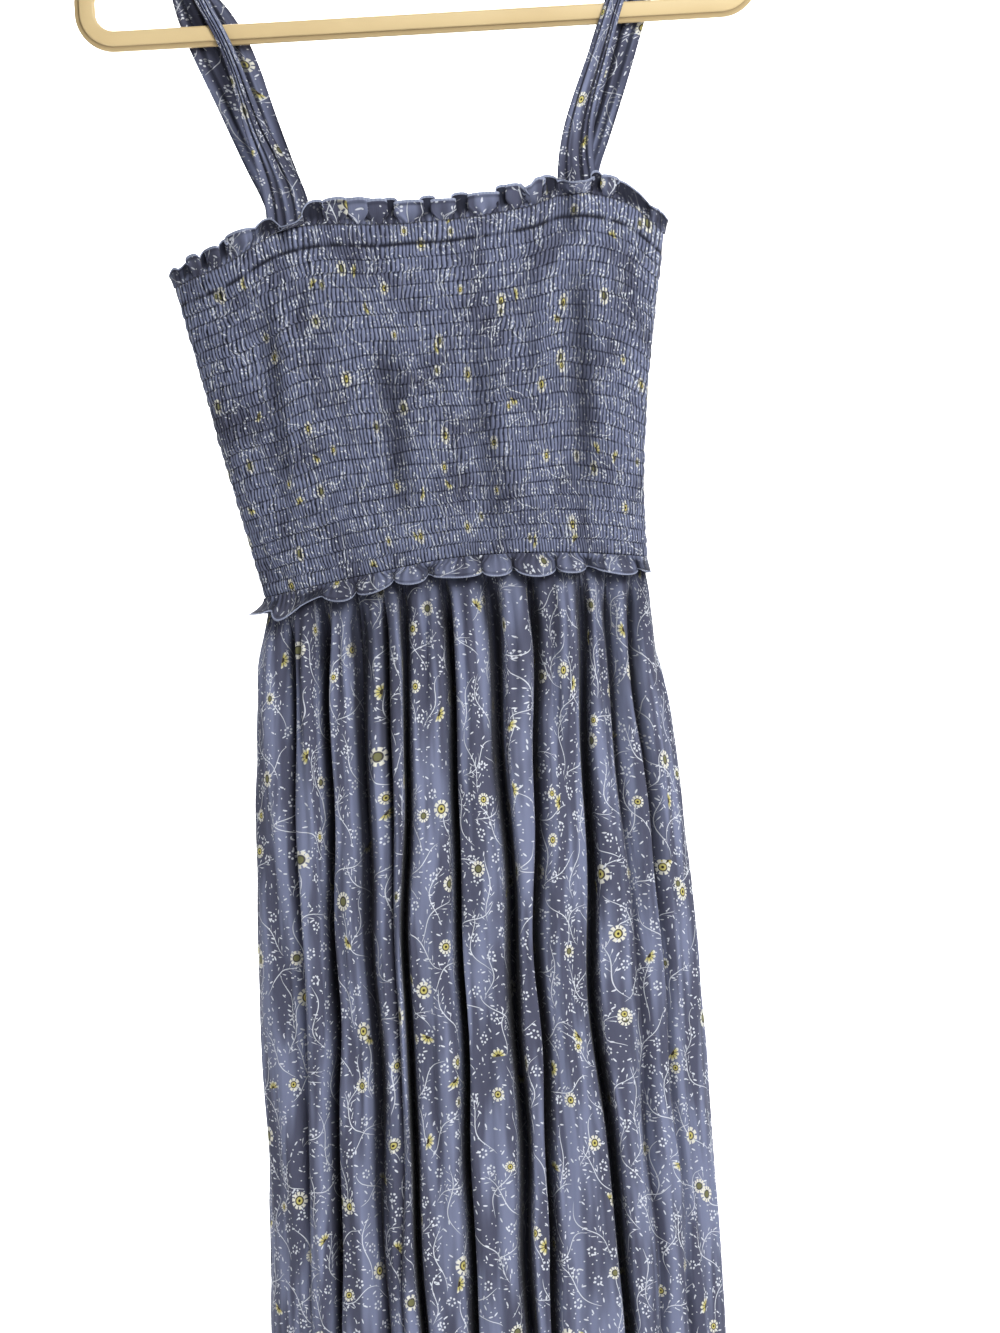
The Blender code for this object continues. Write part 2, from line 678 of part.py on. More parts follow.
def make_hanger_frame(finish):
    """Closed moulding of flat section, with a thinner lip along its outside."""
    half_height = BAR_HEIGHT / 2.0
    half_body = BAR_THICKNESS / 2.0
    half_ledge = LEDGE_THICKNESS / 2.0
    bevel = 1.2
    step = half_height - LEDGE_HEIGHT
    profile = (
        (-half_height, -half_body + bevel), (-half_height + bevel, -half_body),
        (step - bevel / 2.0, -half_body), (step, -half_ledge), (half_height, -half_ledge),
        (half_height, half_ledge), (step, half_ledge), (step - bevel / 2.0, half_body),
        (-half_height + bevel, half_body), (-half_height, half_body - bevel),
    )
    mesh = bmesh.new()
    rings = []
    for x, z, turn in frame_path():
        rings.append([mesh.verts.new(placed((x + out * math.cos(turn), y, z + out * math.sin(turn))))
                      for out, y in profile])
    for ring, following in zip(rings, rings[1:] + rings[:1]):
        for corner in range(len(profile)):
            after = (corner + 1) % len(profile)
            mesh.faces.new((ring[corner], ring[after], following[after], following[corner]))
    bmesh.ops.recalc_face_normals(mesh, faces=mesh.faces)
    return mesh_object("hanger_frame", mesh, finish)


def make_hanger_hook(finish):
    """Round wire: a stem out of the neck and an open loop."""
    stem_foot = frame_top() + SEAM_GAP
    bend = stem_foot + HOOK_STEM * 0.6
    middle = hook_middle()
    route = [(0.0, stem_foot), (0.0, bend)]
    start, end, steps = math.radians(-50.0), math.radians(200.0), 16
    for step in range(steps + 1):
        turn = blend(start, end, step / steps)
        route.append((HOOK_RADIUS * math.cos(turn), middle + HOOK_RADIUS * math.sin(turn)))
    lead_x, lead_z = route[2]
    route.insert(2, (lead_x * 0.12, blend(bend, lead_z, 0.30)))
    route.insert(3, (lead_x * 0.50, blend(bend, lead_z, 0.68)))
    wire = bpy.data.curves.new("hanger_hook", "CURVE")
    wire.dimensions = "3D"
    wire.bevel_depth = HOOK_WIRE / 2.0 * MM
    wire.bevel_resolution = 1
    wire.use_fill_caps = True
    line = wire.splines.new("POLY")
    line.points.add(len(route) - 1)
    for point, (x, z) in zip(line.points, route):
        point.co = (*placed((x, 0.0, z)), 1.0)
    return finish_object("hanger_hook", wire, finish)


def main():
    for existing in list(bpy.data.objects):
        bpy.data.objects.remove(existing, do_unlink=True)
    cloth = material("printed blue viscose", (0.16, 0.19, 0.30), 0.8, 0.0)
    moulding = material("beige moulding", (0.82, 0.66, 0.38), 0.45, 0.0)
    metal = material("gold tone wire", (0.78, 0.62, 0.36), 0.3, 1.0)
    make_bodice_panel(FRONT, FRONT_GATHERS, cloth)
    make_bodice_panel(BACK, BACK_GATHERS, cloth)
    make_neck_frill(FRONT, FRONT_GATHERS, cloth)
    make_neck_frill(BACK, BACK_GATHERS, cloth)
    make_waist_frill(FRONT, FRONT_GATHERS, cloth)
    make_waist_frill(BACK, BACK_GATHERS, cloth)
    make_skirt_panel(FRONT, FRONT_FOLDS, FRONT_SKIRT_ROWS, cloth)
    make_skirt_panel(BACK, BACK_FOLDS, BACK_SKIRT_ROWS, cloth)
    make_strap("left", LEFT_FRONT_RUN, LEFT_BACK_RUN, cloth)
    make_strap("right", RIGHT_FRONT_RUN, RIGHT_BACK_RUN, cloth)
    make_hanger_frame(moulding)
    make_hanger_hook(metal)


if __name__ == "__main__":
    main()
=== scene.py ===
"""A smocked sun dress on its hanger: cloth, print, gathers and finishes over the solid model.

Sizes are in millimetres, with heights measured from the middle of the hanger's bar and x from
midway between the straps. The front of the dress faces -Y. placed() turns such points into
metres under the hook's rest, where the finished model has its origin.
"""

import math
from collections import namedtuple

import bmesh
import bpy
import numpy as np
from mathutils import Matrix, Vector


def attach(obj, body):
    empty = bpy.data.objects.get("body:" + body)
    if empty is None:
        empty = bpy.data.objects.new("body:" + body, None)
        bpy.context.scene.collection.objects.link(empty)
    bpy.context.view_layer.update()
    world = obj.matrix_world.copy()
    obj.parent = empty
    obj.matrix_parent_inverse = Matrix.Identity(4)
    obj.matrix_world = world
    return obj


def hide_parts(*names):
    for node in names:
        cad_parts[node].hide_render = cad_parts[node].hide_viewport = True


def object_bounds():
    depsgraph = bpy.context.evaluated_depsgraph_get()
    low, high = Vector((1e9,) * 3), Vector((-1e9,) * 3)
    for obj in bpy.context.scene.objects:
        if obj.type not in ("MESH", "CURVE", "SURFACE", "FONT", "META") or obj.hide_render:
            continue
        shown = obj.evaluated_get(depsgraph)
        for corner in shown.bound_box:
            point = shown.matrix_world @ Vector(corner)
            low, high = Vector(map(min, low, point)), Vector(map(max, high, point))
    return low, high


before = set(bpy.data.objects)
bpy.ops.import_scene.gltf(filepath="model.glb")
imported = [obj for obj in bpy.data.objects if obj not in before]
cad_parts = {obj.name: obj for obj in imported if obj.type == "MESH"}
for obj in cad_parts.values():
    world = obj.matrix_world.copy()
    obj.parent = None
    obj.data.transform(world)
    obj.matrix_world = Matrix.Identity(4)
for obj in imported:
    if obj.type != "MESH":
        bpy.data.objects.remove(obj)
CAD_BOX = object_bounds()

bl_info = {
    "name": "Smocked dress on a hanger",
    "version": (1, 0, 0),
    "blender": (4, 5, 0),
    "location": "3D View > Sidebar > Dress",
    "description": "Makes the cloth, the hanger and a plain studio for a smocked sun dress",
    "category": "Object",
}

MM = 0.001
TAU = 2.0 * math.pi
FRONT = -1
BACK = 1
NOISE_WAVES = 7          # waves in a soft random field
LOOP_DRAWS = 40          # random draws kept for the loops of one frill
HOOK_REST = 192.6867     # height of the hook's rest over the bar's middle

# Hanger
HANGER_WIDTH = 420.0
BAR_HEIGHT = 12.6
BAR_THICKNESS = 6.4
LEDGE_HEIGHT = 3.0
LEDGE_THICKNESS = 3.2
CORNER_RADIUS = 18.0
SHOULDER_RADIUS = 14.0
SIDE_RISE = 6.0
ARM_SLOPE = math.radians(22.0)
NECK_RADIUS = 16.0
HOOK_WIRE = 3.8
HOOK_RADIUS = 22.0
HOOK_STEM = 24.0
HOOK_RISE = 1.25         # loop's middle over the stem's top, in radii
HOOK_START = math.radians(-50.0)
HOOK_END = math.radians(200.0)
HOOK_STEPS = 16
HOOK_TIP = (0.95, 0.8, 0.5, 0.0)  # shares of the wire's radius up to its rounded end

# Bodice
WALL = 1.3               # thickness of the solid model's cloth walls
SEAM_GAP = 0.3
ROW_PITCH = 8.0          # between two shirring rows
FIRST_BAND = 12.5
ROW_COUNT = 24
ROW_VALLEY = 0.4
ROW_PUFF = 1.5
PUFF_STEPS = (0.0, 0.14, 0.36, 0.64, 0.86)
PUFF_ROUNDNESS = 0.7     # lower is fuller between two rows
ROW_SWAY = 0.9           # how far a shirring row strays up and down
SIDE_START = 0.90        # share of the way across where relief starts to calm at the seams
SMOCKED_FULLNESS = 1.32  # cloth that the gathers take up beyond the sheet's own width

BodiceSection = namedtuple("BodiceSection", "level left right depth")
BODICE_SECTIONS = (
    BodiceSection(0.00, -158.0, 143.0, 31.0),
    BodiceSection(0.23, -148.0, 135.0, 33.0),
    BodiceSection(0.46, -138.0, 128.0, 32.0),
    BodiceSection(0.77, -124.0, 121.8, 29.0),
    BodiceSection(1.00, -113.5, 121.0, 27.0),
)

# Height of a line round the bodice, against the place across it from -1 to 1
Line = namedtuple("Line", "across front back")
NECK_LINE = (
    Line(-1.00, -153.0, -153.0),
    Line(-0.78, -143.0, -142.0),
    Line(-0.52, -125.0, -127.0),
    Line(-0.10, -126.5, -122.0),
    Line(0.20, -125.0, -120.5),
    Line(0.45, -120.0, -118.0),
    Line(0.62, -113.0, -114.0),
    Line(0.84, -119.0, -120.0),
    Line(1.00, -137.0, -137.0),
)
WAIST_LINE = (
    Line(-1.00, -346.0, -346.0),
    Line(-0.50, -337.0, -338.0),
    Line(0.00, -329.0, -332.0),
    Line(0.50, -329.0, -330.0),
    Line(1.00, -334.0, -334.0),
)

# Soft dents, each along a slanting line
Dent = namedtuple("Dent", "face x_top z_top x_low z_low width depth")
BODICE_DENTS = (
    Dent(FRONT, 88.0, -168.0, 86.0, -318.0, 13.0, 5.0),
    Dent(FRONT, 24.0, -205.0, 32.0, -335.0, 13.0, 3.5),
    Dent(FRONT, -30.0, -205.0, -26.0, -315.0, 13.0, 4.0),
    Dent(FRONT, -102.0, -175.0, -96.0, -305.0, 10.0, 3.5),
    Dent(FRONT, 60.0, -150.0, 56.0, -240.0, 9.0, 2.0),
    Dent(FRONT, 84.0, -106.0, 86.0, -146.0, 9.0, 4.0),
    Dent(FRONT, -88.0, -118.0, -90.0, -142.0, 6.0, 2.5),
    Dent(BACK, -72.0, -180.0, -60.0, -300.0, 13.0, 3.5),
    Dent(BACK, 8.0, -190.0, 12.0, -325.0, 12.0, 3.0),
    Dent(BACK, 80.0, -170.0, 74.0, -260.0, 12.0, 3.0),
)

# Free height of the frills beyond the shirring
FrillHeight = namedtuple("FrillHeight", "across front back")
NECK_FRILL = (
    FrillHeight(-1.00, 9.0, 9.0),
    FrillHeight(-0.92, 13.0, 12.0),
    FrillHeight(-0.66, 14.0, 13.0),
    FrillHeight(-0.52, 7.0, 13.0),
    FrillHeight(-0.40, 14.5, 14.0),
    FrillHeight(0.15, 15.0, 15.0),
    FrillHeight(0.50, 15.0, 14.0),
    FrillHeight(0.63, 10.0, 13.0),
    FrillHeight(0.74, 14.0, 14.0),
    FrillHeight(1.00, 10.0, 10.0),
)
WAIST_FRILL_DROP = (
    FrillHeight(-1.00, 11.0, 11.0),
    FrillHeight(-0.88, 15.5, 14.0),
    FrillHeight(-0.68, 11.0, 13.0),
    FrillHeight(-0.52, 13.5, 14.0),
    FrillHeight(-0.35, 9.5, 13.0),
    FrillHeight(-0.05, 13.0, 12.0),
    FrillHeight(0.55, 13.0, 14.0),
    FrillHeight(1.00, 12.0, 12.0),
)

# Places where the neck frill dips in front of a strap's foot or a fold
Notch = namedtuple("Notch", "face x width drop out")
FRILL_NOTCHES = (
    Notch(FRONT, -84.0, 9.0, 6.5, 3.0),
    Notch(FRONT, 61.0, 4.0, 5.0, 3.0),
    Notch(FRONT, 92.0, 8.0, 4.0, 2.5),
)

# Middles of the straps' feet, where a frill's loops stay in front of the strap
STRAP_FEET = (-86.0, 92.0)
STRAP_FOOT_REACH = 15.0

# Share of a frill's loops that stands forward, as an offset of their wave
NECK_LOOP_BIAS = 0.15
WAIST_LOOP_BIAS = 0.5
NECK_FINE_GATHERS = 96.0
WAIST_FINE_GATHERS = 84.0

# Skirt
HEM_LEVEL = -1130.0
SEAM_ALLOWANCE = 4.0
SEAM_EASE = 24.0
FOLD_ONSET = 45.0
SIDE_GAP = 0.25          # between the skirt's panels and their middle plane
ROW_CROWDING = 1.35      # over 1 sets the rows closer near the waist
PLEAT_CROWDING = 0.8     # sets the columns closer in the valleys
CROWN_FLATNESS = 2.4
SkirtSection = namedtuple("SkirtSection", "z left right depth")
SKIRT_SECTIONS = (
    SkirtSection(-320.0, -113.5, 121.0, 27.0),
    SkirtSection(-352.0, -113.5, 121.0, 27.0),
    SkirtSection(-385.0, -117.0, 122.0, 31.0),
    SkirtSection(-420.0, -121.0, 127.0, 35.0),
    SkirtSection(-480.0, -125.0, 130.0, 40.0),
    SkirtSection(-600.0, -128.0, 136.0, 47.0),
    SkirtSection(-700.0, -129.5, 138.5, 51.0),
    SkirtSection(-800.0, -134.0, 139.0, 55.0),
    SkirtSection(-960.0, -140.0, 145.0, 60.0),
    SkirtSection(-1130.0, -147.0, 152.0, 66.0),
)

# Valleys of the skirt's folds: places and depths at three heights, half width, how far the
# valley leans under its neighbour, and how square its edges are
Fold = namedtuple("Fold", "x_waist x_knee x_hem deep_waist deep_knee deep_hem width lean square")
FOLD_LEVELS = (-371.0, -585.0, -800.0)
FRONT_FOLDS = (
    Fold(-101.0, -104.0, -109.0, 8.0, 4.0, 2.0, 3.5, 0.10, 1.6),
    Fold(-80.0, -85.0, -94.0, 14.0, 20.0, 20.0, 3.6, 0.20, 3.0),
    Fold(-57.0, -60.0, -62.0, 14.0, 13.0, 7.0, 5.2, -0.10, 2.6),
    Fold(-42.0, -46.0, -52.0, 10.0, 4.0, 2.0, 2.4, 0.10, 2.0),
    Fold(-28.0, -38.0, -41.0, 14.0, 24.0, 24.0, 2.3, -0.15, 3.6),
    Fold(-3.0, -8.0, -11.0, 14.0, 26.0, 26.0, 2.5, 0.15, 3.6),
    Fold(24.0, 25.0, 23.0, 14.0, 24.0, 18.0, 3.7, 0.10, 3.4),
    Fold(50.0, 42.0, 39.0, 14.0, 24.0, 24.0, 2.3, -0.12, 3.6),
    Fold(78.0, 73.0, 82.0, 12.0, 22.0, 22.0, 2.9, 0.15, 3.2),
    Fold(96.0, 101.0, 104.0, 9.0, 5.0, 3.0, 4.5, -0.10, 1.6),
    Fold(110.0, 117.0, 121.0, 12.0, 6.0, 3.0, 2.8, 0.10, 2.2),
)
BACK_FOLDS = (
    Fold(-96.0, -102.0, -106.0, 9.0, 8.0, 9.0, 3.4, 0.10, 2.0),
    Fold(-74.0, -80.0, -82.0, 12.0, 20.0, 20.0, 2.6, -0.15, 3.2),
    Fold(-52.0, -50.0, -56.0, 11.0, 9.0, 5.0, 5.0, 0.10, 2.0),
    Fold(-26.0, -29.0, -31.0, 14.0, 24.0, 24.0, 2.4, 0.15, 3.6),
    Fold(2.0, 4.0, 1.0, 13.0, 18.0, 18.0, 3.0, -0.12, 3.0),
    Fold(28.0, 31.0, 34.0, 12.0, 9.0, 12.0, 4.0, 0.10, 2.0),
    Fold(52.0, 56.0, 60.0, 14.0, 24.0, 24.0, 2.4, -0.15, 3.6),
    Fold(76.0, 84.0, 86.0, 11.0, 10.0, 10.0, 3.6, 0.12, 2.4),
    Fold(102.0, 108.0, 112.0, 10.0, 8.0, 9.0, 3.2, -0.10, 2.2),
)
SKIRT_CREASES = (
    Dent(FRONT, -93.0, -352.0, -95.0, -460.0, 3.0, 4.0),
    Dent(FRONT, -68.0, -350.0, -70.0, -430.0, 3.0, 5.0),
    Dent(FRONT, -14.0, -350.0, -20.0, -440.0, 3.0, 5.0),
    Dent(FRONT, 7.0, -350.0, 6.0, -455.0, 3.0, 5.0),
    Dent(FRONT, 37.0, -350.0, 36.0, -425.0, 3.0, 4.0),
    Dent(FRONT, 62.0, -350.0, 58.0, -470.0, 3.0, 5.0),
    Dent(FRONT, 69.0, -350.0, 66.0, -420.0, 2.5, 4.0),
    Dent(FRONT, 88.0, -352.0, 90.0, -480.0, 3.5, 4.0),
    Dent(FRONT, -80.0, -690.0, -81.0, -900.0, 5.0, 1.6),
    Dent(FRONT, -69.0, -560.0, -71.0, -860.0, 5.0, 1.8),
    Dent(FRONT, -24.0, -520.0, -27.0, -760.0, 4.0, 1.6),
    Dent(FRONT, 7.0, -600.0, 5.0, -900.0, 5.0, 1.8),
    Dent(FRONT, 57.0, -500.0, 60.0, -820.0, 5.0, 2.0),
    Dent(FRONT, 99.0, -620.0, 104.0, -900.0, 6.0, 2.0),
    Dent(FRONT, 88.0, -470.0, 92.0, -700.0, 5.0, 1.6),
    Dent(FRONT, -58.0, -850.0, -60.0, -1110.0, 6.0, 3.0),
    Dent(FRONT, 4.0, -880.0, 2.0, -1120.0, 6.0, 3.0),
    Dent(FRONT, 62.0, -860.0, 64.0, -1120.0, 6.0, 3.0),
    Dent(BACK, -62.0, -350.0, -64.0, -440.0, 3.0, 5.0),
    Dent(BACK, -10.0, -350.0, -12.0, -460.0, 3.0, 5.0),
    Dent(BACK, 40.0, -350.0, 42.0, -430.0, 3.0, 5.0),
    Dent(BACK, 90.0, -350.0, 94.0, -470.0, 3.0, 4.0),
    Dent(BACK, -38.0, -520.0, -41.0, -840.0, 6.0, 2.0),
    Dent(BACK, 18.0, -600.0, 20.0, -900.0, 6.0, 2.0),
    Dent(BACK, 70.0, -520.0, 72.0, -800.0, 6.0, 2.0),
)
FOLD_BULGE = 4.2

# Stations of a strap: height, edges seen from the front, depth, and the share by which it
# follows the inside of the bodice
StrapStation = namedtuple("StrapStation", "z left right y hug")
LEFT_FRONT_RUN = (
    StrapStation(-136.0, -98.0, -74.0, -20.0, 1.0),
    StrapStation(-122.0, -98.0, -73.0, -20.0, 1.0),
    StrapStation(-106.0, -99.0, -74.0, -20.0, 0.9),
    StrapStation(-86.0, -103.0, -82.0, -15.0, 0.3),
    StrapStation(-58.0, -110.0, -96.0, -10.5, 0.0),
    StrapStation(-30.0, -116.0, -106.0, -7.5, 0.0),
    StrapStation(-8.0, -122.0, -113.5, -5.7, 0.0),
    StrapStation(14.0, -132.5, -124.0, -5.7, 0.0),
    StrapStation(38.0, -143.0, -132.0, -5.7, 0.0),
)
LEFT_BACK_RUN = (
    StrapStation(36.0, -152.0, -130.0, 5.7, 0.0),
    StrapStation(14.0, -148.0, -114.0, 5.7, 0.0),
    StrapStation(-10.0, -140.0, -102.0, 5.7, 0.0),
    StrapStation(-34.0, -130.0, -95.0, 8.5, 0.0),
    StrapStation(-58.0, -120.5, -88.0, 11.5, 0.0),
    StrapStation(-84.0, -110.0, -80.0, 16.0, 0.3),
    StrapStation(-108.0, -100.0, -73.0, 20.0, 0.9),
    StrapStation(-124.0, -98.0, -73.0, 20.0, 1.0),
    StrapStation(-138.0, -98.0, -74.0, 20.0, 1.0),
)
RIGHT_FRONT_RUN = (
    StrapStation(-125.0, 80.0, 104.0, -20.0, 1.0),
    StrapStation(-110.0, 79.0, 104.0, -20.0, 1.0),
    StrapStation(-94.0, 80.0, 102.0, -20.0, 0.9),
    StrapStation(-74.0, 84.0, 103.0, -14.5, 0.3),
    StrapStation(-48.0, 93.0, 109.0, -10.0, 0.0),
    StrapStation(-24.0, 103.0, 117.0, -7.0, 0.0),
    StrapStation(-6.0, 110.0, 122.0, -5.7, 0.0),
    StrapStation(16.0, 119.0, 131.0, -5.7, 0.0),
    StrapStation(38.0, 129.0, 142.0, -5.7, 0.0),
)
RIGHT_BACK_RUN = (
    StrapStation(36.0, 127.0, 150.0, 5.7, 0.0),
    StrapStation(16.0, 118.0, 146.0, 5.7, 0.0),
    StrapStation(-6.0, 109.0, 138.5, 5.7, 0.0),
    StrapStation(-28.0, 101.0, 131.0, 8.5, 0.0),
    StrapStation(-50.0, 94.0, 123.0, 11.5, 0.0),
    StrapStation(-76.0, 86.0, 113.0, 16.0, 0.3),
    StrapStation(-98.0, 80.0, 105.0, 20.0, 0.9),
    StrapStation(-114.0, 80.0, 104.0, 20.0, 1.0),
    StrapStation(-128.0, 80.0, 104.0, 20.0, 1.0),
)
CREST = ((-5.7, -10.0), (-5.7, 3.0), (-4.9, 7.0), (-2.6, 9.1), (0.0, 9.5),
         (2.6, 9.1), (4.9, 7.0), (5.7, 3.0), (5.7, -10.0))
CREST_SHARES = (0.10, 0.25, 0.35, 0.45, 0.50, 0.55, 0.65, 0.75, 0.90)
RUN_STEPS = 9
STRAP_END = 0.06         # share of a strap's length where its folds flatten at an end

# Lengthwise folds of a strap: share across at its two ends, height of the step, groove depth
StrapFold = namedtuple("StrapFold", "share_start share_end step groove")
LEFT_STRAP_FOLDS = (
    StrapFold(0.18, 0.26, 0.8, 1.2),
    StrapFold(0.47, 0.41, -0.6, 1.7),
    StrapFold(0.76, 0.68, 0.6, 1.3),
)
RIGHT_STRAP_FOLDS = (
    StrapFold(0.26, 0.20, 0.6, 1.1),
    StrapFold(0.58, 0.64, -0.8, 1.8),
    StrapFold(0.82, 0.78, 0.5, 1.0),
)

# Grids of the thin sheets
EVENNESS = 0.9           # how evenly the columns are spaced as seen from the front
FRILL_COLUMNS = 560
FRILL_ROWS = 20
STRAP_COLUMNS = 48
STRAP_ROWS = 168
PAPER_COLUMNS = 8
PAPER_ROWS = 40
ARC_STEPS = 14           # along each rounded corner of the hanger's frame
WIRE_STEPS = 120
WIRE_AROUND = 16

# Studio, in metres
FLOOR_BELOW = 0.10       # from the hem to the floor
WALL_BEHIND = 4.4        # from the dress to the wall
SWEEP = 0.5              # radius between the wall and the floor
PAPER_WIDTH = 8.0
WALL_END = 0.45          # share down the paper where the wall starts to bend
FLOOR_START = 0.75       # and where the floor starts
WALL_STRETCH = 7.0       # length of the wall and the floor for a whole share
FLOOR_STRETCH = 22.0
SENSOR = 36.0            # camera's longer side, in millimetres
VIEW_HEIGHT = 0.805      # seen at the front of the dress
VIEW_MIDDLE = Vector((0.0274, -0.025, -0.5887))
CAMERA_ROLL = math.radians(3.3)


# Arithmetic on arrays of places


def blend(start, end, share):
    return start + (end - start) * share


def ease(share):
    """Smooth step from 0 to 1, held outside that range."""
    share = np.clip(share, 0.0, 1.0)
    return share * share * (3.0 - 2.0 * share)


def between(start, end, leaving, arriving, share):
    """Smooth curve from start to end with a given slope at each."""
    rest = 1.0 - share
    return (start * (1.0 + 2.0 * share) * rest * rest + leaving * share * rest * rest
            + end * (3.0 - 2.0 * share) * share * share - arriving * share * share * rest)


def curve(rows, column, at):
    """Smooth curve through one named column of a table, read at values of its first column."""
    keys = np.array([row[0] for row in rows])
    values = np.array([getattr(row, column) for row in rows])
    if keys[0] > keys[-1]:
        keys = keys[::-1]
        values = values[::-1]
    slopes = np.gradient(values)
    slopes[1:-1] = (values[2:] - values[:-2]) / (keys[2:] - keys[:-2])
    slopes[0] = (values[1] - values[0]) / (keys[1] - keys[0])
    slopes[-1] = (values[-1] - values[-2]) / (keys[-1] - keys[-2])
    at = np.clip(np.asarray(at, dtype=float), keys[0], keys[-1])
    place = np.clip(np.searchsorted(keys, at, side="right") - 1, 0, len(keys) - 2)
    span = keys[place + 1] - keys[place]
    return between(values[place], values[place + 1], slopes[place] * span,
                   slopes[place + 1] * span, (at - keys[place]) / span)


def soft_noise(seed, x, y, reach_x, reach_y):
    """Soft random field of about -1 to 1, the same on every run. Each use has its own seed."""
    draws = np.random.default_rng(seed)
    field = 0.0
    for _ in range(NOISE_WAVES):
        rate_x = draws.uniform(0.4, 1.4) / reach_x
        rate_y = draws.uniform(-1.2, 1.2) / reach_y
        field = field + np.sin(TAU * (x * rate_x + y * rate_y + draws.uniform()))
    return field / 3.0


def side_name(face):
    return "front" if face == FRONT else "back"


def ring_points(face, angle, left, right, depth, z, inset):
    """Points on flattened rings, moved inwards by inset along each ring's normal."""
    middle = (left + right) / 2.0
    half = (right - left) / 2.0
    normal_x = np.sin(angle) / half
    normal_y = face * np.cos(angle) / depth
    length = np.hypot(normal_x, normal_y)
    x = middle + half * np.sin(angle) - inset * normal_x / length
    y = face * depth * np.cos(angle) - inset * normal_y / length
    return np.stack((x, y, z), axis=-1)


def dent_depths(dents, face, x, z):
    """How far the soft dents push a wall in."""
    total = np.zeros(np.shape(x))
    for dent in dents:
        if dent.face != face:
            continue
        along = (z - dent.z_top) / (dent.z_low - dent.z_top)
        off_line = np.abs(x - blend(dent.x_top, dent.x_low, along)) / dent.width
        fade = ease((along + 0.15) / 0.25) * ease((1.0 - along) / 0.4)
        total += dent.depth * fade * (1.0 - ease(off_line))
    return total


def seam_angle(share, depth, gap=SEAM_GAP):
    """Angle round a half ring for a share from 0 to 1, stopping short of the side seams."""
    margin = np.arcsin(gap / 2.0 / depth)
    return blend(margin - math.pi / 2.0, math.pi / 2.0 - margin, share)


def evened(share):
    """Share of the angle round a half ring for a nearly even share of the way across it."""
    seen = 0.5 + np.arcsin(np.clip(2.0 * share - 1.0, -1.0, 1.0)) / math.pi
    return blend(share, seen, EVENNESS)


def bodice_points(face, angle, level, relief):
    """Points of a bodice panel. Level runs from 0 at the neck to 1 at the waist."""
    across = np.sin(angle)
    side = side_name(face)
    z = blend(curve(NECK_LINE, side, across), curve(WAIST_LINE, side, across), level)
    left = curve(BODICE_SECTIONS, "left", level)
    right = curve(BODICE_SECTIONS, "right", level)
    depth = curve(BODICE_SECTIONS, "depth", level)
    x = blend(left, right, (across + 1.0) / 2.0)
    inset = dent_depths(BODICE_DENTS, face, x, z) - relief
    return ring_points(face, angle, left, right, depth, z, inset)


def bodice_face_at(face, x, z, inset):
    """Depth of the bodice's wall at places seen from the front."""
    level = np.zeros(np.shape(x))
    for _ in range(4):
        left = curve(BODICE_SECTIONS, "left", level)
        right = curve(BODICE_SECTIONS, "right", level)
        across = (2.0 * x - left - right) / (right - left)
        neck = curve(NECK_LINE, side_name(face), across)
        waist = curve(WAIST_LINE, side_name(face), across)
        level = (z - neck) / (waist - neck)
    depth = curve(BODICE_SECTIONS, "depth", level)
    reach = np.sqrt(np.clip(1.0 - across * across, 0.0, 1.0))
    return face * (depth * reach - inset - dent_depths(BODICE_DENTS, face, x, z))


# Forms: each gives points for shares across and down a sheet, both from 0 to 1


def marked(points, gather, row, painted_shade):
    """Points with what the finish needs: turns of the gathers, shirring rows, and how much painted
    shade darkens the colour.
    """
    marks = np.broadcast_arrays(points[..., 0], gather, row, np.clip(painted_shade, 0.0, 1.0))[1:]
    return np.concatenate((points, np.stack(marks, axis=-1)), axis=-1)


def smocking_rows():
    """Distance under the neck, band number and place in its band for each row of points."""
    rows = []
    start = 0.0
    for band in range(ROW_COUNT):
        height = FIRST_BAND if band == 0 else ROW_PITCH
        rows.extend((start + height * step, band, step) for step in PUFF_STEPS)
        start += height
    rows.append((start, ROW_COUNT - 1, 1.0))
    return np.array(rows)


def smocked_form(face, gathers, relief):
    """Puffs between the shirring rows, crossed by fine upright gathers of uneven size."""
    table = smocking_rows()

    def form(across, down):
        row = np.rint(down * (len(table) - 1)).astype(int)
        distance, band, step = table[row].T
        level = distance / table[-1, 0]
        draws = np.random.default_rng(31 + face).uniform(-0.5, 0.5, ROW_COUNT)
        puff = np.sin(math.pi * step) ** PUFF_ROUNDNESS
        drift = 0.55 * soft_noise(3, across * 40.0, distance / 30.0, 5.0, 2.0)
        drift += 0.35 * (step - 0.5) * soft_noise(9, across * 40.0, band, 5.0, 1.7)
        turns = gathers * across + drift + 0.9 * draws[band.astype(int)]
        size = 0.62 + 0.30 * soft_noise(5, across * 60.0, band, 3.0, 2.0)
        ribs = np.cos(TAU * turns) + 0.45 * np.cos(math.pi * turns + 2.3 * band)
        lift = ROW_VALLEY + (ROW_PUFF - ROW_VALLEY) * puff
        lift *= 0.86 + 0.14 * soft_noise(7, across * 30.0, band, 4.0, 3.0)
        lift += relief * size * (0.45 + 0.55 * puff) * ribs
        depth = curve(BODICE_SECTIONS, "depth", level)
        angle = seam_angle(evened(across), depth)
        lift *= 1.0 - 0.55 * ease((np.abs(np.sin(angle)) - SIDE_START) / 0.09)
        points = bodice_points(face, angle, level, lift)
        sway = soft_noise(15, across * 5.0, distance / 70.0, 1.0, 1.0)
        points[..., 2] += ROW_SWAY * sway * np.sin(math.pi * level) ** 0.7
        # Painted shade in the soft dents: the deeper the dent, the darker.
        sunk = dent_depths(BODICE_DENTS, face, points[..., 0], points[..., 2])
        return marked(points, turns, band + step, 0.15 * sunk)

    return form, len(table) - 1


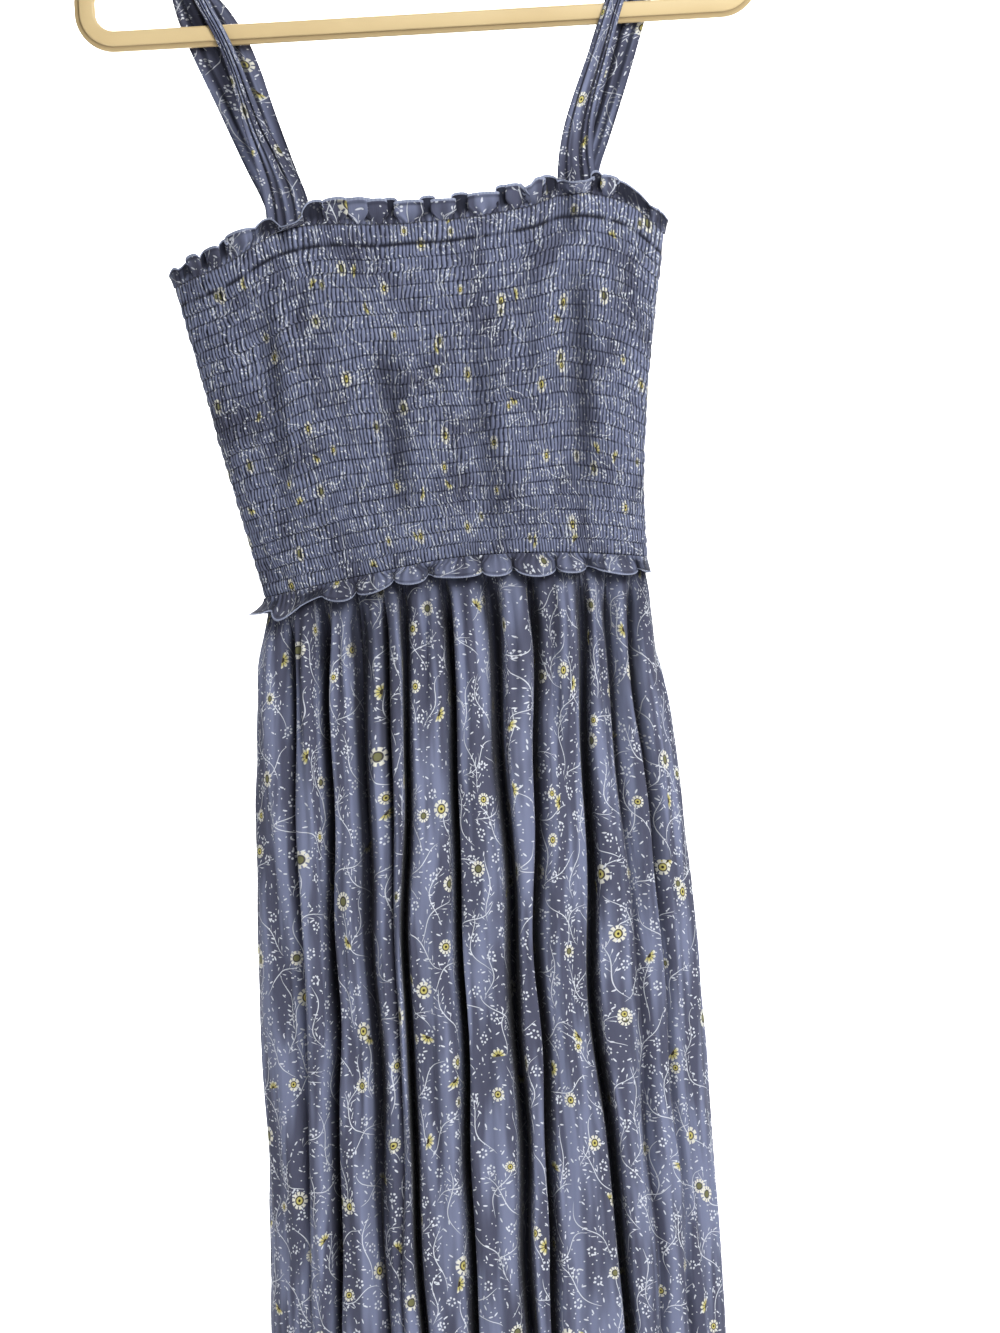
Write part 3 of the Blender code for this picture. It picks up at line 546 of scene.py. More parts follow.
def loops(turns, seed, bias, calm):
    """A free edge that winds in and out. Gives how far each point stands in front and behind,
    and two draws for its loop."""
    draws = np.random.default_rng(seed).uniform(-1.0, 1.0, (2, LOOP_DRAWS))
    number = np.clip(np.floor(turns + 0.5).astype(int) + 2, 0, LOOP_DRAWS - 1)
    forward = (np.cos(TAU * turns) + bias) * calm
    front = np.clip(forward / (1.0 + bias), 0.0, 1.0) ** 0.8
    behind = np.clip(-forward / (1.0 - bias), 0.0, 1.0) ** 0.8
    return front, behind, draws[0, number], draws[1, number]


def calm_ends(angle):
    """Less winding where a frill turns away at the side seams."""
    return 1.0 - 0.8 * ease((np.abs(np.sin(angle)) - SIDE_START) / 0.08)


def painted_crease_shade(turns, rate, out):
    """Painted shade in the thin creases that run from the gathers to the free edge."""
    crease = 0.5 + 0.5 * np.cos(TAU * (turns * rate + 0.7 * np.sin(turns * 2.1)))
    return 0.38 * crease ** 6 * (1.0 - 0.45 * out)


def slide(points, face, angle, along):
    """Moves points along the edge of the frill's ring."""
    points[..., 0] += along * np.cos(angle)
    points[..., 1] -= face * along * np.sin(angle)


def neck_frill_form(face, waves):
    """Free header over the first shirring row, standing in small loops that overlap."""
    side = side_name(face)

    def form(across, down):
        up = 1.0 - down
        neck = BODICE_SECTIONS[0]
        angle = seam_angle(evened(across), neck.depth)
        height = curve(NECK_FRILL, side, np.sin(angle))
        turns = across * waves + 0.25 * np.sin(across * 4.0 * math.pi)
        turns += 0.38 * soft_noise(11, across * waves, 0.0, 2.5, 1.0)
        front, behind, size, tall = loops(turns, 71 + face, NECK_LOOP_BIAS, calm_ends(angle))
        spread = ease(up / 0.5)
        fine = np.cos(TAU * NECK_FINE_GATHERS * across)
        outward = 0.5 + 0.7 * fine * (1.0 - up) ** 1.2
        outward += up ** 1.2 * (2.4 + (4.6 + 1.2 * size) * front - 3.6 * behind)
        points = bodice_points(face, angle, 0.0, outward)
        at_strap = np.zeros(np.shape(across))
        for foot in STRAP_FEET:
            at_strap += np.exp(-((points[..., 0] - foot) / STRAP_FOOT_REACH) ** 4)
        points[..., 1] += face * up ** 1.2 * 3.6 * behind * at_strap
        winding = 3.3 * np.sin(2.0 * TAU * turns) + 2.0 * np.sin(TAU * turns)
        slide(points, face, angle, spread * winding * calm_ends(angle))
        lift = 0.90 - spread * (0.20 * (1.0 - front) - 0.36 * behind)
        points[..., 2] += up * height * (lift + 0.13 * tall * front)
        for notch in FRILL_NOTCHES:
            if notch.face == face:
                near = np.exp(-((points[..., 0] - notch.x) / notch.width) ** 4)
                points[..., 2] -= up * notch.drop * near
                points[..., 1] += face * up * notch.out * near
        off_middle = np.abs(points[..., 0] * 2.0 - neck.left - neck.right)
        ends = np.exp(-((off_middle - neck.right + neck.left) / 7.0) ** 2)
        points[..., 2] += up * 3.0 * ends
        # Painted shade inside the loops behind, in crescents under the loops in front, in a line under
        # the hem's rim, at the gathered foot and in thin creases; the hem's top is kept free of it.
        sunk = spread * (1.1 * behind ** 0.3 + 0.9 * (1.0 - front) ** 2 * (front > 0.0))
        sunk += 0.75 * np.exp(-((up - 0.82) / 0.06) ** 2) * (0.5 + 0.5 * size ** 2)
        sunk += (0.34 + 0.34 * fine) * (1.0 - up) ** 1.2 + painted_crease_shade(turns, 3.3, up)
        lit = (0.88 - 0.25 * behind) * ease((up - 0.89) / 0.04)
        return marked(points, 0.0, 0.5, sunk * (1.0 - lit))

    return form


def waist_frill_form(face, waves):
    """Free lower header of the bodice, hanging in scallops over the skirt's seam."""
    side = side_name(face)

    def form(across, down):
        depth = BODICE_SECTIONS[-1].depth
        angle = seam_angle(evened(across), depth)
        drop = curve(WAIST_FRILL_DROP, side, np.sin(angle))
        turns = across * waves + 0.12 * np.sin(across * 6.0 * math.pi)
        turns += 0.20 * soft_noise(13, across * waves, 0.0, 2.5, 1.0)
        front, behind, size, long = loops(turns, 81 + face, WAIST_LOOP_BIAS, calm_ends(angle))
        spread = ease(down / 0.5)
        fine = np.cos(TAU * WAIST_FINE_GATHERS * across)
        dish = np.exp(-(across / 0.10) ** 2) if face == FRONT else 0.0
        outward = 0.8 + 0.7 * fine * (1.0 - down) ** 1.2
        outward += down ** 1.3 * (4.0 + (4.0 + 1.2 * size) * front - 3.2 * behind)
        outward += 6.0 * dish * down ** 2.5
        outward = outward * (1.0 - 0.6 * ease((across - 0.95) / 0.05))
        points = bodice_points(face, angle, 1.0, outward)
        slide(points, face, angle, 3.7 * spread * np.sin(TAU * turns) * (1.0 - dish))
        shape = 1.0 - spread * (0.24 * (1.0 - front) + 0.12 * behind)
        points[..., 2] -= down * drop * (shape + 0.12 * long * front)
        # Painted shade inside the loops behind, under the loops in front, at the gathered top, in thin
        # creases and in a line above the hem; the hem itself is kept mostly free of it.
        sunk = spread * (1.1 * behind ** 0.4 + 0.8 * (1.0 - front) ** 2 * (front > 0.0))
        sunk += (0.28 + 0.28 * fine) * (1.0 - down) ** 0.9 + painted_crease_shade(turns, 3.7, down)
        sunk += 0.45 * np.exp(-((down - 0.86) / 0.05) ** 2)
        return marked(points, 0.0, 0.5, sunk * (1.0 - 0.80 * ease((down - 0.90) / 0.04)))

    return form


def fold_value(fold, prefix, z):
    """A fold's place or depth at a height, from its values at the three levels."""
    waist, knee, hem = (getattr(fold, f"{prefix}_{name}") for name in ("waist", "knee", "hem"))
    upper, middle, lower = FOLD_LEVELS
    above = blend(waist, knee, ease((upper - z) / (upper - middle)))
    below = blend(knee, hem, ease((middle - z) / (middle - lower)))
    return np.where(z > middle, above, below)


def skirt_form(face, folds, settings):
    """Gathered panel with narrow leaning valleys, rounded pleats and small gathers on top."""
    side = side_name(face)
    pitches = len(folds) + 1

    def form(across, down):
        scaled = across * pitches
        pitch = np.minimum(scaled.astype(int), pitches - 1)
        part = scaled - pitch
        part = part - PLEAT_CROWDING * np.sin(TAU * part) / TAU
        waist = curve(WAIST_LINE, side, blend(-1.0, 1.0, across))
        z = blend(waist + SEAM_ALLOWANCE, HEM_LEVEL, down ** ROW_CROWDING)
        left = curve(SKIRT_SECTIONS, "left", z)
        right = curve(SKIRT_SECTIONS, "right", z)
        depth = curve(SKIRT_SECTIONS, "depth", z)
        half = (right - left) / 2.0
        limit = math.pi / 2.0 - np.arcsin(SIDE_GAP / depth)
        angles = [-limit]
        for fold in folds:
            place = fold_value(fold, "x", z)
            place = place + 1.3 * soft_noise(int(fold.x_waist) + 400, z, 0.0, 150.0, 1.0)
            angles.append(np.arcsin((2.0 * place - left - right) / (right - left)))
        angles = np.stack(angles + [limit])
        flat = np.zeros(np.shape(z))
        deep = np.stack([flat] + [fold_value(fold, "deep", z) for fold in folds] + [flat])
        widths = np.array([1.0] + [fold.width for fold in folds] + [1.0])
        leans = np.array([0.0] + [fold.lean for fold in folds] + [0.0])
        squares = np.array([2.0] + [fold.square for fold in folds] + [2.0])

        def pick(stack, number):
            return np.take_along_axis(stack, number[None], axis=0)[0]

        before = pick(angles, pitch)
        after = pick(angles, pitch + 1)
        angle = blend(before, after, part)
        across_mm = np.hypot(half * np.cos(angle), depth * np.sin(angle)) * (after - before)
        below_seam = waist - z
        opened = ease(below_seam / FOLD_ONSET)
        inset = np.zeros(np.shape(z))
        shift = np.zeros(np.shape(z))
        for number, distance in ((pitch, part * across_mm), (pitch + 1, (1.0 - part) * across_mm)):
            width = widths[number] * (1.0 + 0.7 * (1.0 - ease(below_seam / 80.0)))
            valley = np.exp(-(distance / width) ** squares[number])
            sunk = pick(deep, number) * valley * settings.fold_depth
            inset += sunk
            shift += leans[number] * sunk
        crown = 1.0 - np.abs(2.0 * part - 1.0) ** CROWN_FLATNESS
        inset -= FOLD_BULGE * crown
        x_seen = blend(left, right, (np.sin(angle) + 1.0) / 2.0)
        inset += dent_depths(SKIRT_CREASES, face, x_seen, z)
        inset += 1.5 * soft_noise(19 + face, x_seen, z, 16.0, 220.0)
        inset += 0.5 * soft_noise(43 + face, x_seen, z, 6.0, 90.0)
        gathers = across * pitches * 4.3 + 0.6 * soft_noise(23, across * pitches, 0.0, 2.0, 1.0)
        reach = 46.0 + 26.0 * soft_noise(29, across * pitches * 2.0, 0.0, 2.0, 1.0)
        pinch = 1.0 - ease(below_seam / reach)
        inset += settings.waist_gather * (0.5 - 0.5 * np.cos(TAU * gathers)) * pinch
        inset = opened * inset + (WALL + SEAM_GAP) * (1.0 - ease(below_seam / SEAM_EASE))
        points = ring_points(face, angle, left, right, depth, z, inset)
        points[..., 0] += opened * shift
        # Painted shade in the deep valleys and softly on the pleats' flanks, and dark under the waist
        # frill at the seam.
        sunk = 0.84 * ease((inset - 3.0) / 4.0) + 0.26 * ease((inset + FOLD_BULGE) / 6.0)
        sunk += 0.75 * (1.0 - ease(below_seam / 24.0)) + 0.25 * (1.0 - ease(below_seam / 60.0))
        return marked(points, 0.0, 0.5, sunk)

    return form


def arm_middle(x):
    """Height of the hanger arm's middle at a place across it."""
    shoulder_x = HANGER_WIDTH / 2.0 - BAR_HEIGHT / 2.0 - SHOULDER_RADIUS
    turn = math.pi / 2.0 - ARM_SLOPE
    start_x = shoulder_x + SHOULDER_RADIUS * math.cos(turn)
    start_z = CORNER_RADIUS + SIDE_RISE + SHOULDER_RADIUS * math.sin(turn)
    return start_z + (start_x - np.abs(x)) * math.tan(ARM_SLOPE)


def strap_form(front_run, back_run, folds):
    """One strip: up in front of the bar, over the arm and down behind it, folded lengthwise."""

    def run_points(face, run, z, share):
        z = np.full(np.shape(share), z)
        x = blend(curve(run, "left", z), curve(run, "right", z), share)
        hug = curve(run, "hug", z)
        on_cloth = bodice_face_at(face, x, z, WALL + SEAM_GAP)
        return np.stack((x, blend(curve(run, "y", z), on_cloth, hug), z), axis=-1)

    def crest_points(y, rise, way, share):
        front_x = blend(front_run[-1].left, front_run[-1].right, share)
        back_x = blend(back_run[0].left, back_run[0].right, share)
        x = blend(front_x, back_x, way)
        return np.stack((x, np.full(np.shape(share), y), arm_middle(x) + rise), axis=-1)

    def stations(share):
        """Points across the strap at every station along it."""
        rows = []
        for step in range(RUN_STEPS + 1):
            z = blend(front_run[0].z, front_run[-1].z, step / RUN_STEPS)
            rows.append(run_points(FRONT, front_run, z, share))
        for (y, rise), way in zip(CREST, CREST_SHARES):
            rows.append(crest_points(y, rise, way, share))
        for step in range(RUN_STEPS + 1):
            z = blend(back_run[0].z, back_run[-1].z, step / RUN_STEPS)
            rows.append(run_points(BACK, back_run, z, share))
        return np.stack(rows)

    def form(across, down):
        share = 1.0 - across
        rows = stations(share)
        slopes = np.gradient(rows, axis=0)
        place = down * (len(rows) - 1)
        low = np.clip(place.astype(int), 0, len(rows) - 2)
        part = (place - low)[:, None]
        number = np.arange(len(share))
        points = between(rows[low, number], rows[low + 1, number], slopes[low, number],
                         slopes[low + 1, number], part)
        over = np.clip((place - RUN_STEPS - 1) / (len(CREST) - 1), 0.0, 1.0) * math.pi
        lift = 0.35 * soft_noise(37, share, down, 0.6, 0.10)
        # Painted shade: soft and uneven all over, darker at the strap's edges and in each fold's
        # groove, with a lighter strip beside each groove as a painted highlight.
        sunk = 0.14 + 0.26 * soft_noise(41, share, down, 0.30, 0.12)
        sunk += 0.50 * ease((np.abs(share - 0.5) - 0.41) / 0.08)
        for fold in folds:
            middle = blend(fold.share_start, fold.share_end, np.sin(down * 7.0) * 0.5 + 0.5)
            off = share - middle
            lift += fold.step * np.tanh(off / 0.03)
            lift -= fold.groove * np.exp(-(off / 0.035) ** 2)
            sunk += 0.80 * fold.groove * np.exp(-(off / 0.040) ** 2)
            sunk -= 0.32 * np.exp(-((off - 0.075) / 0.025) ** 2)
        lift *= ease(down / STRAP_END) * ease((1.0 - down) / STRAP_END)
        points[:, 1] -= np.cos(over) * lift
        points[:, 2] += np.sin(over) * lift
        return marked(points, 0.0, 0.5, sunk)

    return form


# Making pieces


def placed(points):
    """Millimetres above the bar to metres below the hook's rest."""
    return (points - np.array((0.0, 0.0, HOOK_REST))) * MM


def sheet_mesh(name, columns, rows, form, mirrored=False):
    """Grid mesh shaped by a form, with its points kept as rows and columns."""
    mesh = bmesh.new()
    bmesh.ops.create_grid(mesh, x_segments=columns, y_segments=rows, size=0.5)
    data = bpy.data.meshes.new(name)
    mesh.to_mesh(data)
    mesh.free()
    flat = np.empty(len(data.vertices) * 3)
    data.vertices.foreach_get("co", flat)
    flat = flat.reshape(-1, 3)
    column = np.rint((flat[:, 0] + 0.5) * columns).astype(int)
    row = np.rint((0.5 - flat[:, 1]) * rows).astype(int)
    across = column / columns
    shaped = form(1.0 - across if mirrored else across, row / rows)
    points = placed(shaped[:, :3])
    data.vertices.foreach_set("co", points.ravel())
    if shaped.shape[1] > 3:
        # The marks hold the gathers' turns, the shirring rows and the share of painted shade.
        marks = data.attributes.new("folds", "FLOAT_VECTOR", "POINT")
        marks.data.foreach_set("vector", shaped[:, 3:].ravel())
    grid = np.empty((rows + 1, columns + 1, 3))
    grid[row, column] = points
    return data, grid, row, column


def lay_out_cloth(data, grid, row, column, fullness, start):
    """UV map in metres of flat cloth. Gives the width and length the sheet was cut to."""
    widths = np.linalg.norm(np.diff(grid, axis=1), axis=2)
    lengths = np.linalg.norm(np.diff(grid, axis=0), axis=2)
    lower_half = widths[len(widths) // 2:].mean(axis=0) * fullness
    along = lengths.mean(axis=1)
    u = np.concatenate(((0.0,), np.cumsum(lower_half)))
    v = np.concatenate(((0.0,), np.cumsum(along)))
    corners = np.empty(len(data.loops), dtype=np.int32)
    data.loops.foreach_get("vertex_index", corners)
    places = np.stack((u[column] + start[0], start[1] - v[row]), axis=-1)[corners]
    layer = data.uv_layers.new(name="cloth")
    layer.data.foreach_set("uv", places.ravel())
    return float(u[-1]), float(v[-1])


def show(name, data):
    """Object of that mesh in the scene's own collection, smooth all over."""
    data.shade_smooth()
    made = bpy.data.objects.new(name, data)
    bpy.context.scene.collection.objects.link(made)
    return made


def cloth_piece(name, columns, rows, form, mirrored, start, fullness=1.0, hem_rows=0):
    """Thin sheet of the printed cloth over the solid of the same name."""
    look = bpy.context.scene.dress_cloth
    data, grid, row, column = sheet_mesh(f"{name}_cloth", columns, rows, form, mirrored)
    cut = lay_out_cloth(data, grid, row, column, fullness, start)
    data.materials.append(printed_cloth(look))
    data.materials.append(hem_cloth(look))
    if hem_rows:
        mark_hem(data, columns, rows, hem_rows)
    made = show(f"{name}_cloth", data)
    shell = made.modifiers.new("cloth thickness", "SOLIDIFY")
    shell.thickness = look.thickness
    shell.offset = -1.0
    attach(made, "root")
    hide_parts(name)
    return made, cut


def mark_hem(data, columns, rows, hem_rows):
    """Gives the faces along one edge the rolled hem's finish: the top rows if hem_rows is over 0."""
    size = len(data.polygons)
    numbers = np.arange(size) // columns
    from_top = rows - 1 - numbers
    chosen = from_top < hem_rows if hem_rows > 0 else numbers < -hem_rows
    data.polygons.foreach_set("material_index", chosen.astype(np.int32))


def swept_mesh(name, rings, around, form):
    """Closed body from a grid of rings whose ends meet, joined where points fall together."""
    data, _, _, _ = sheet_mesh(name, around, rings, form)
    mesh = bmesh.new()
    mesh.from_mesh(data)
    bmesh.ops.remove_doubles(mesh, verts=mesh.verts, dist=1e-6)
    bmesh.ops.recalc_face_normals(mesh, faces=mesh.faces)
    mesh.to_mesh(data)
    mesh.free()
    return data


# Finishes


class Value:
    """A shader socket that takes part in ordinary arithmetic."""

    def __init__(self, finish, socket):
        self.finish = finish
        self.socket = socket

    def maths(self, operation, *others):
        inputs = dict(enumerate((self, *others)))
        made = self.finish.node("ShaderNodeMath", {"operation": operation}, inputs)
        return Value(self.finish, made.outputs[0])

    def __add__(self, other):
        return self.maths("ADD", other)

    __radd__ = __add__

    def __mul__(self, other):
        return self.maths("MULTIPLY", other)

    __rmul__ = __mul__

    def __sub__(self, other):
        return self.maths("SUBTRACT", other)

    def __rsub__(self, other):
        return (self * -1.0) + other

    def __abs__(self):
        return self.maths("ABSOLUTE")

    def floor(self):
        return self.maths("FLOOR")

    def fraction(self):
        return self.maths("FRACT")

    def sine(self):
        return self.maths("SINE")

    def cosine(self):
        return self.maths("COSINE")

    def hypot(self, other):
        return (self * self + other * other).maths("SQRT")

    def larger(self, other):
        return self.maths("MAXIMUM", other)

    def over(self, limit):
        return self.maths("GREATER_THAN", limit)

    def rise(self, low, high):
        """Smooth step from 0 at low to 1 at high. High may be the lower one."""
        settings = {"interpolation_type": "SMOOTHSTEP"}
        if high < low:
            return 1.0 - self.rise(high, low)
        inputs = {"Value": self, "From Min": low, "From Max": high}
        made = self.finish.node("ShaderNodeMapRange", settings, inputs)
        return Value(self.finish, made.outputs["Result"])


class Finish:
    """A material and its nodes."""

    def __init__(self, name):
        self.material = bpy.data.materials.new(name)
        self.material.use_nodes = True
        self.tree = self.material.node_tree
        self.shader = self.tree.nodes["Principled BSDF"]

    def feed(self, socket, value):
        if isinstance(value, Value):
            value = value.socket
        if isinstance(value, bpy.types.NodeSocket):
            self.tree.links.new(value, socket)
        else:
            socket.default_value = value

    def node(self, kind, settings, inputs):
        made = self.tree.nodes.new(kind)
        for key, value in settings.items():
            setattr(made, key, value)
        for key, value in inputs.items():
            self.feed(made.inputs[key], value)
        return made

    def cloth_place(self):
        """Place on the flat cloth, in millimetres."""
        place = self.node("ShaderNodeUVMap", {"uv_map": "cloth"}, {})
        parts = self.node("ShaderNodeSeparateXYZ", {}, {0: place.outputs["UV"]})
        return Value(self, parts.outputs[0]) * 1000.0, Value(self, parts.outputs[1]) * 1000.0

    def vector(self, x, y, z):
        made = self.node("ShaderNodeCombineXYZ", {}, {0: x, 1: y, 2: z})
        return made.outputs[0]

    def mixed(self, share, first, second):
        """Colour between two others. Plain colours have three numbers."""
        def full(colour):
            return colour if isinstance(colour, bpy.types.NodeSocket) else (*colour, 1.0)
        made = self.node("ShaderNodeMix", {"data_type": "RGBA"},
                         {0: share, 6: full(first), 7: full(second)})
        return made.outputs[2]

    def noise(self, place, scale, detail=2.0):
        made = self.node("ShaderNodeTexNoise", {}, {"Vector": place, "Scale": scale, "Detail": detail})
        return Value(self, made.outputs["Fac"])

    def streaks(self, u, v, rate_u, rate_v, layer=0.0, detail=2.0):
        """Noise that is stretched along the cloth. Each layer is a pattern of its own."""
        return self.noise(self.vector(u * rate_u, v * rate_v, layer), 1.0, detail)

    def bump(self, height, strength, distance):
        made = self.node("ShaderNodeBump", {},
                         {"Height": height, "Strength": strength, "Distance": distance})
        self.feed(self.shader.inputs["Normal"], made.outputs["Normal"])

    def constants(self, **values):
        for key, value in values.items():
            self.shader.inputs[key.replace("_", " ")].default_value = value


def cells(finish, u, v, pitch_u, pitch_v, turn, seed):
    """Cuts the cloth into offset cells: place from each cell's middle and its random draws."""
    layer_offset = 0.37
    column_offset = 0.41
    across = (u * math.cos(turn) + v * math.sin(turn)) * (1.0 / pitch_u) + seed * layer_offset
    column = across.floor()
    along = ((v * math.cos(turn) - u * math.sin(turn)) * (1.0 / pitch_v)
             + column * column_offset)
    row = along.floor()
    made = finish.node("ShaderNodeTexWhiteNoise", {"noise_dimensions": "3D"},
                       {"Vector": finish.vector(column, row, seed)})
    parts = finish.node("ShaderNodeSeparateColor", {}, {0: made.outputs["Color"]})
    draws = [Value(finish, part) for part in parts.outputs]
    x = (across - column - 0.5) * pitch_u
    y = (along - row - 0.5) * pitch_v
    return x, y, draws


def turned(x, y, angle):
    cosine = angle.cosine()
    sine = angle.sine()
    return x * cosine + y * sine, y * cosine - x * sine


def flowers(finish, ground, u, v, look, pitch, turn, seed, size, spread):
    """One layer of round flowers with separate petals, a dark ring and a yellow or olive middle."""
    x, y, (first, second, third) = cells(finish, u, v, pitch, pitch, turn, seed)
    x = x - (first - 0.5) * spread
    y = y - (second - 0.5) * spread
    petals = (second * 6.0 + 7.5).floor()
    notch = (y.maths("ARCTAN2", x) * petals).cosine()
    share = x.hypot(y).maths("DIVIDE", third * (size * 0.3) + size * 0.8)
    petal = share.rise(1.0, 0.90) * share.rise(0.50, 0.56)
    petal = petal * notch.rise(-0.75, -0.35).larger(share.rise(0.66, 0.58))
    middle = share.rise(0.46, 0.40)
    bright = first.rise(0.40, 0.42)
    eye = share.rise(0.20, 0.14) * bright
    ring = share.rise(0.34, 0.40) * share.rise(0.58, 0.52)
    shown = first.maths("LESS_THAN", 0.90)
    heart = finish.mixed(bright, look.olive, look.yellow)
    heart = finish.mixed(eye, heart, look.brown)
    colour = finish.mixed(petal * shown, ground, look.petal)
    colour = finish.mixed(middle * shown, colour, heart)
    return finish.mixed(ring * shown * 0.7, colour, look.brown)


def half_flowers(finish, ground, u, v, look, pitch, turn, seed):
    """Flowers seen from the side: a fan of pale yellow petals over a dark cup."""
    x, y, (first, second, third) = cells(finish, u, v, pitch, pitch, turn, seed)
    x = x - (first - 0.5) * (pitch - 13.0)
    y = y - (second - 0.5) * (pitch - 13.0)
    x, y = turned(x, y, third * TAU)
    y = y + 2.0
    bearing = y.maths("ARCTAN2", x)
    petals = (bearing * 9.0).cosine()
    reach = x.hypot(y * 1.15) - petals * 0.45
    fan = reach.rise(5.0, 4.6) * y.rise(-0.5, 0.0)
    stripe = petals.rise(-0.7, -0.2)
    cup = x.hypot(y * 1.3).rise(1.9, 1.5)
    petal = finish.mixed(reach.rise(2.6, 4.4), look.yellow, look.petal)
    colour = finish.mixed(fan * 0.8, ground, look.olive)
    colour = finish.mixed(fan * stripe, colour, petal)
    return finish.mixed(cup * fan, colour, look.brown)


def stems(finish, u, v, pitch_u, pitch_v, turn, seed, length):
    """Tapered S-shaped stems with twigs and small leaves at the twigs' ends."""
    x, y, (first, second, third) = cells(finish, u, v, pitch_u, pitch_v, turn, seed)
    x, y = turned(x, y, (first - 0.5) * 1.1)
    along = y * (2.0 / length)
    bend = (along * 3.4 + second * TAU).sine() * 3.0 + along * along * 2.6
    off = x - bend * (third * 0.8 + 0.6)
    inside = abs(along).rise(1.0, 0.9)
    width = along * along * -0.22 + 0.26
    stroke = (abs(off) - width).rise(0.15, -0.08) * inside
    side = off.over(0.0)
    steps = (y - abs(off) * 1.1) * (1.0 / 5.4) + side * 0.5 + third
    off_twig = abs(steps.fraction() - 0.5) * 5.4
    leaf = abs(off).rise(1.6, 2.6) * 0.36 + 0.03
    twig = (off_twig - leaf).rise(0.15, -0.06) * abs(off).rise(3.7, 3.3)
    leafy = (along * (second.over(0.5) * 2.0 - 1.0)).rise(-0.1, 0.0)
    twig = twig * inside * leafy
    return stroke.larger(twig) * third.maths("LESS_THAN", 0.88)


def buds(finish, u, v, pitch, turn, seed):
    """Small rings of round buds."""
    x, y, (first, second, third) = cells(finish, u, v, pitch, pitch, turn, seed)
    x = x - (first - 0.5) * 8.0
    y = y - (second - 0.5) * 8.0
    radius = x.hypot(y)
    sector = (y.maths("ARCTAN2", x) * (6.0 / TAU) + third).fraction() - 0.5
    off = (sector * 2.3).hypot(radius - 2.2)
    return off.rise(0.85, 0.50) * third.maths("LESS_THAN", 0.62)


def leaves(finish, u, v, pitch, turn, seed, long, wide):
    """Scattered small leaves, one to a cell."""
    x, y, (first, second, third) = cells(finish, u, v, pitch, pitch, turn, seed)
    x = x - (first - 0.5) * (pitch - long * 2.0)
    y = y - (second - 0.5) * (pitch - long * 2.0)
    x, y = turned(x, y, third * TAU)
    off = (x * (1.0 / wide)).hypot(y * (1.0 / long))
    return off.rise(1.15, 0.80) * third.maths("LESS_THAN", 0.75)


def fold_marks(finish):
    """Turns of the gathers, number of shirring rows above, and the share of painted shade."""
    marks = finish.node("ShaderNodeAttribute", {"attribute_name": "folds"}, {})
    parts = finish.node("ShaderNodeSeparateXYZ", {}, {0: marks.outputs["Vector"]})
    return [Value(finish, part) for part in parts.outputs]


def crease_shadow(finish, u, v):
    """How dark the closed creases are, as painted shade in the colour: between gathers, along shirring
    rows and in deep folds, with each piece's own painted shade from its marks.
    """
    gather, row, painted_shade = fold_marks(finish)
    uneven = finish.streaks(u, v, 0.25, 0.16)
    # Painted shade in the valleys between the gathers, along each shirring row and, in patches, along
    # the first row.
    ridge = ((gather + uneven * 0.6 - 0.30) * TAU).cosine() * 0.5 + 0.5
    smocked = abs(gather).over(0.001)
    valley = ridge.rise(0.68, 0.06) * smocked * (uneven * 0.9 + 0.45)
    place = row.fraction()
    painted_row_shade = (place * (1.0 - place) * 4.0).rise(0.42, 0.0) * smocked
    uneven_row_shade = finish.streaks(u, v, 0.09, 0.05, layer=3.0, detail=1.0).rise(0.36, 0.56)
    first = abs(row - 1.0).rise(0.24, 0.03) * smocked * (uneven_row_shade * 0.55 + 0.25)
    painted_row_shade = painted_row_shade * (uneven * 0.5 + uneven_row_shade * 0.5 + 0.02)
    light = (1.0 - valley * 0.94) * (1.0 - painted_row_shade) * (1.0 - first) * (1.0 - painted_shade * 0.90)
    return 1.0 - light


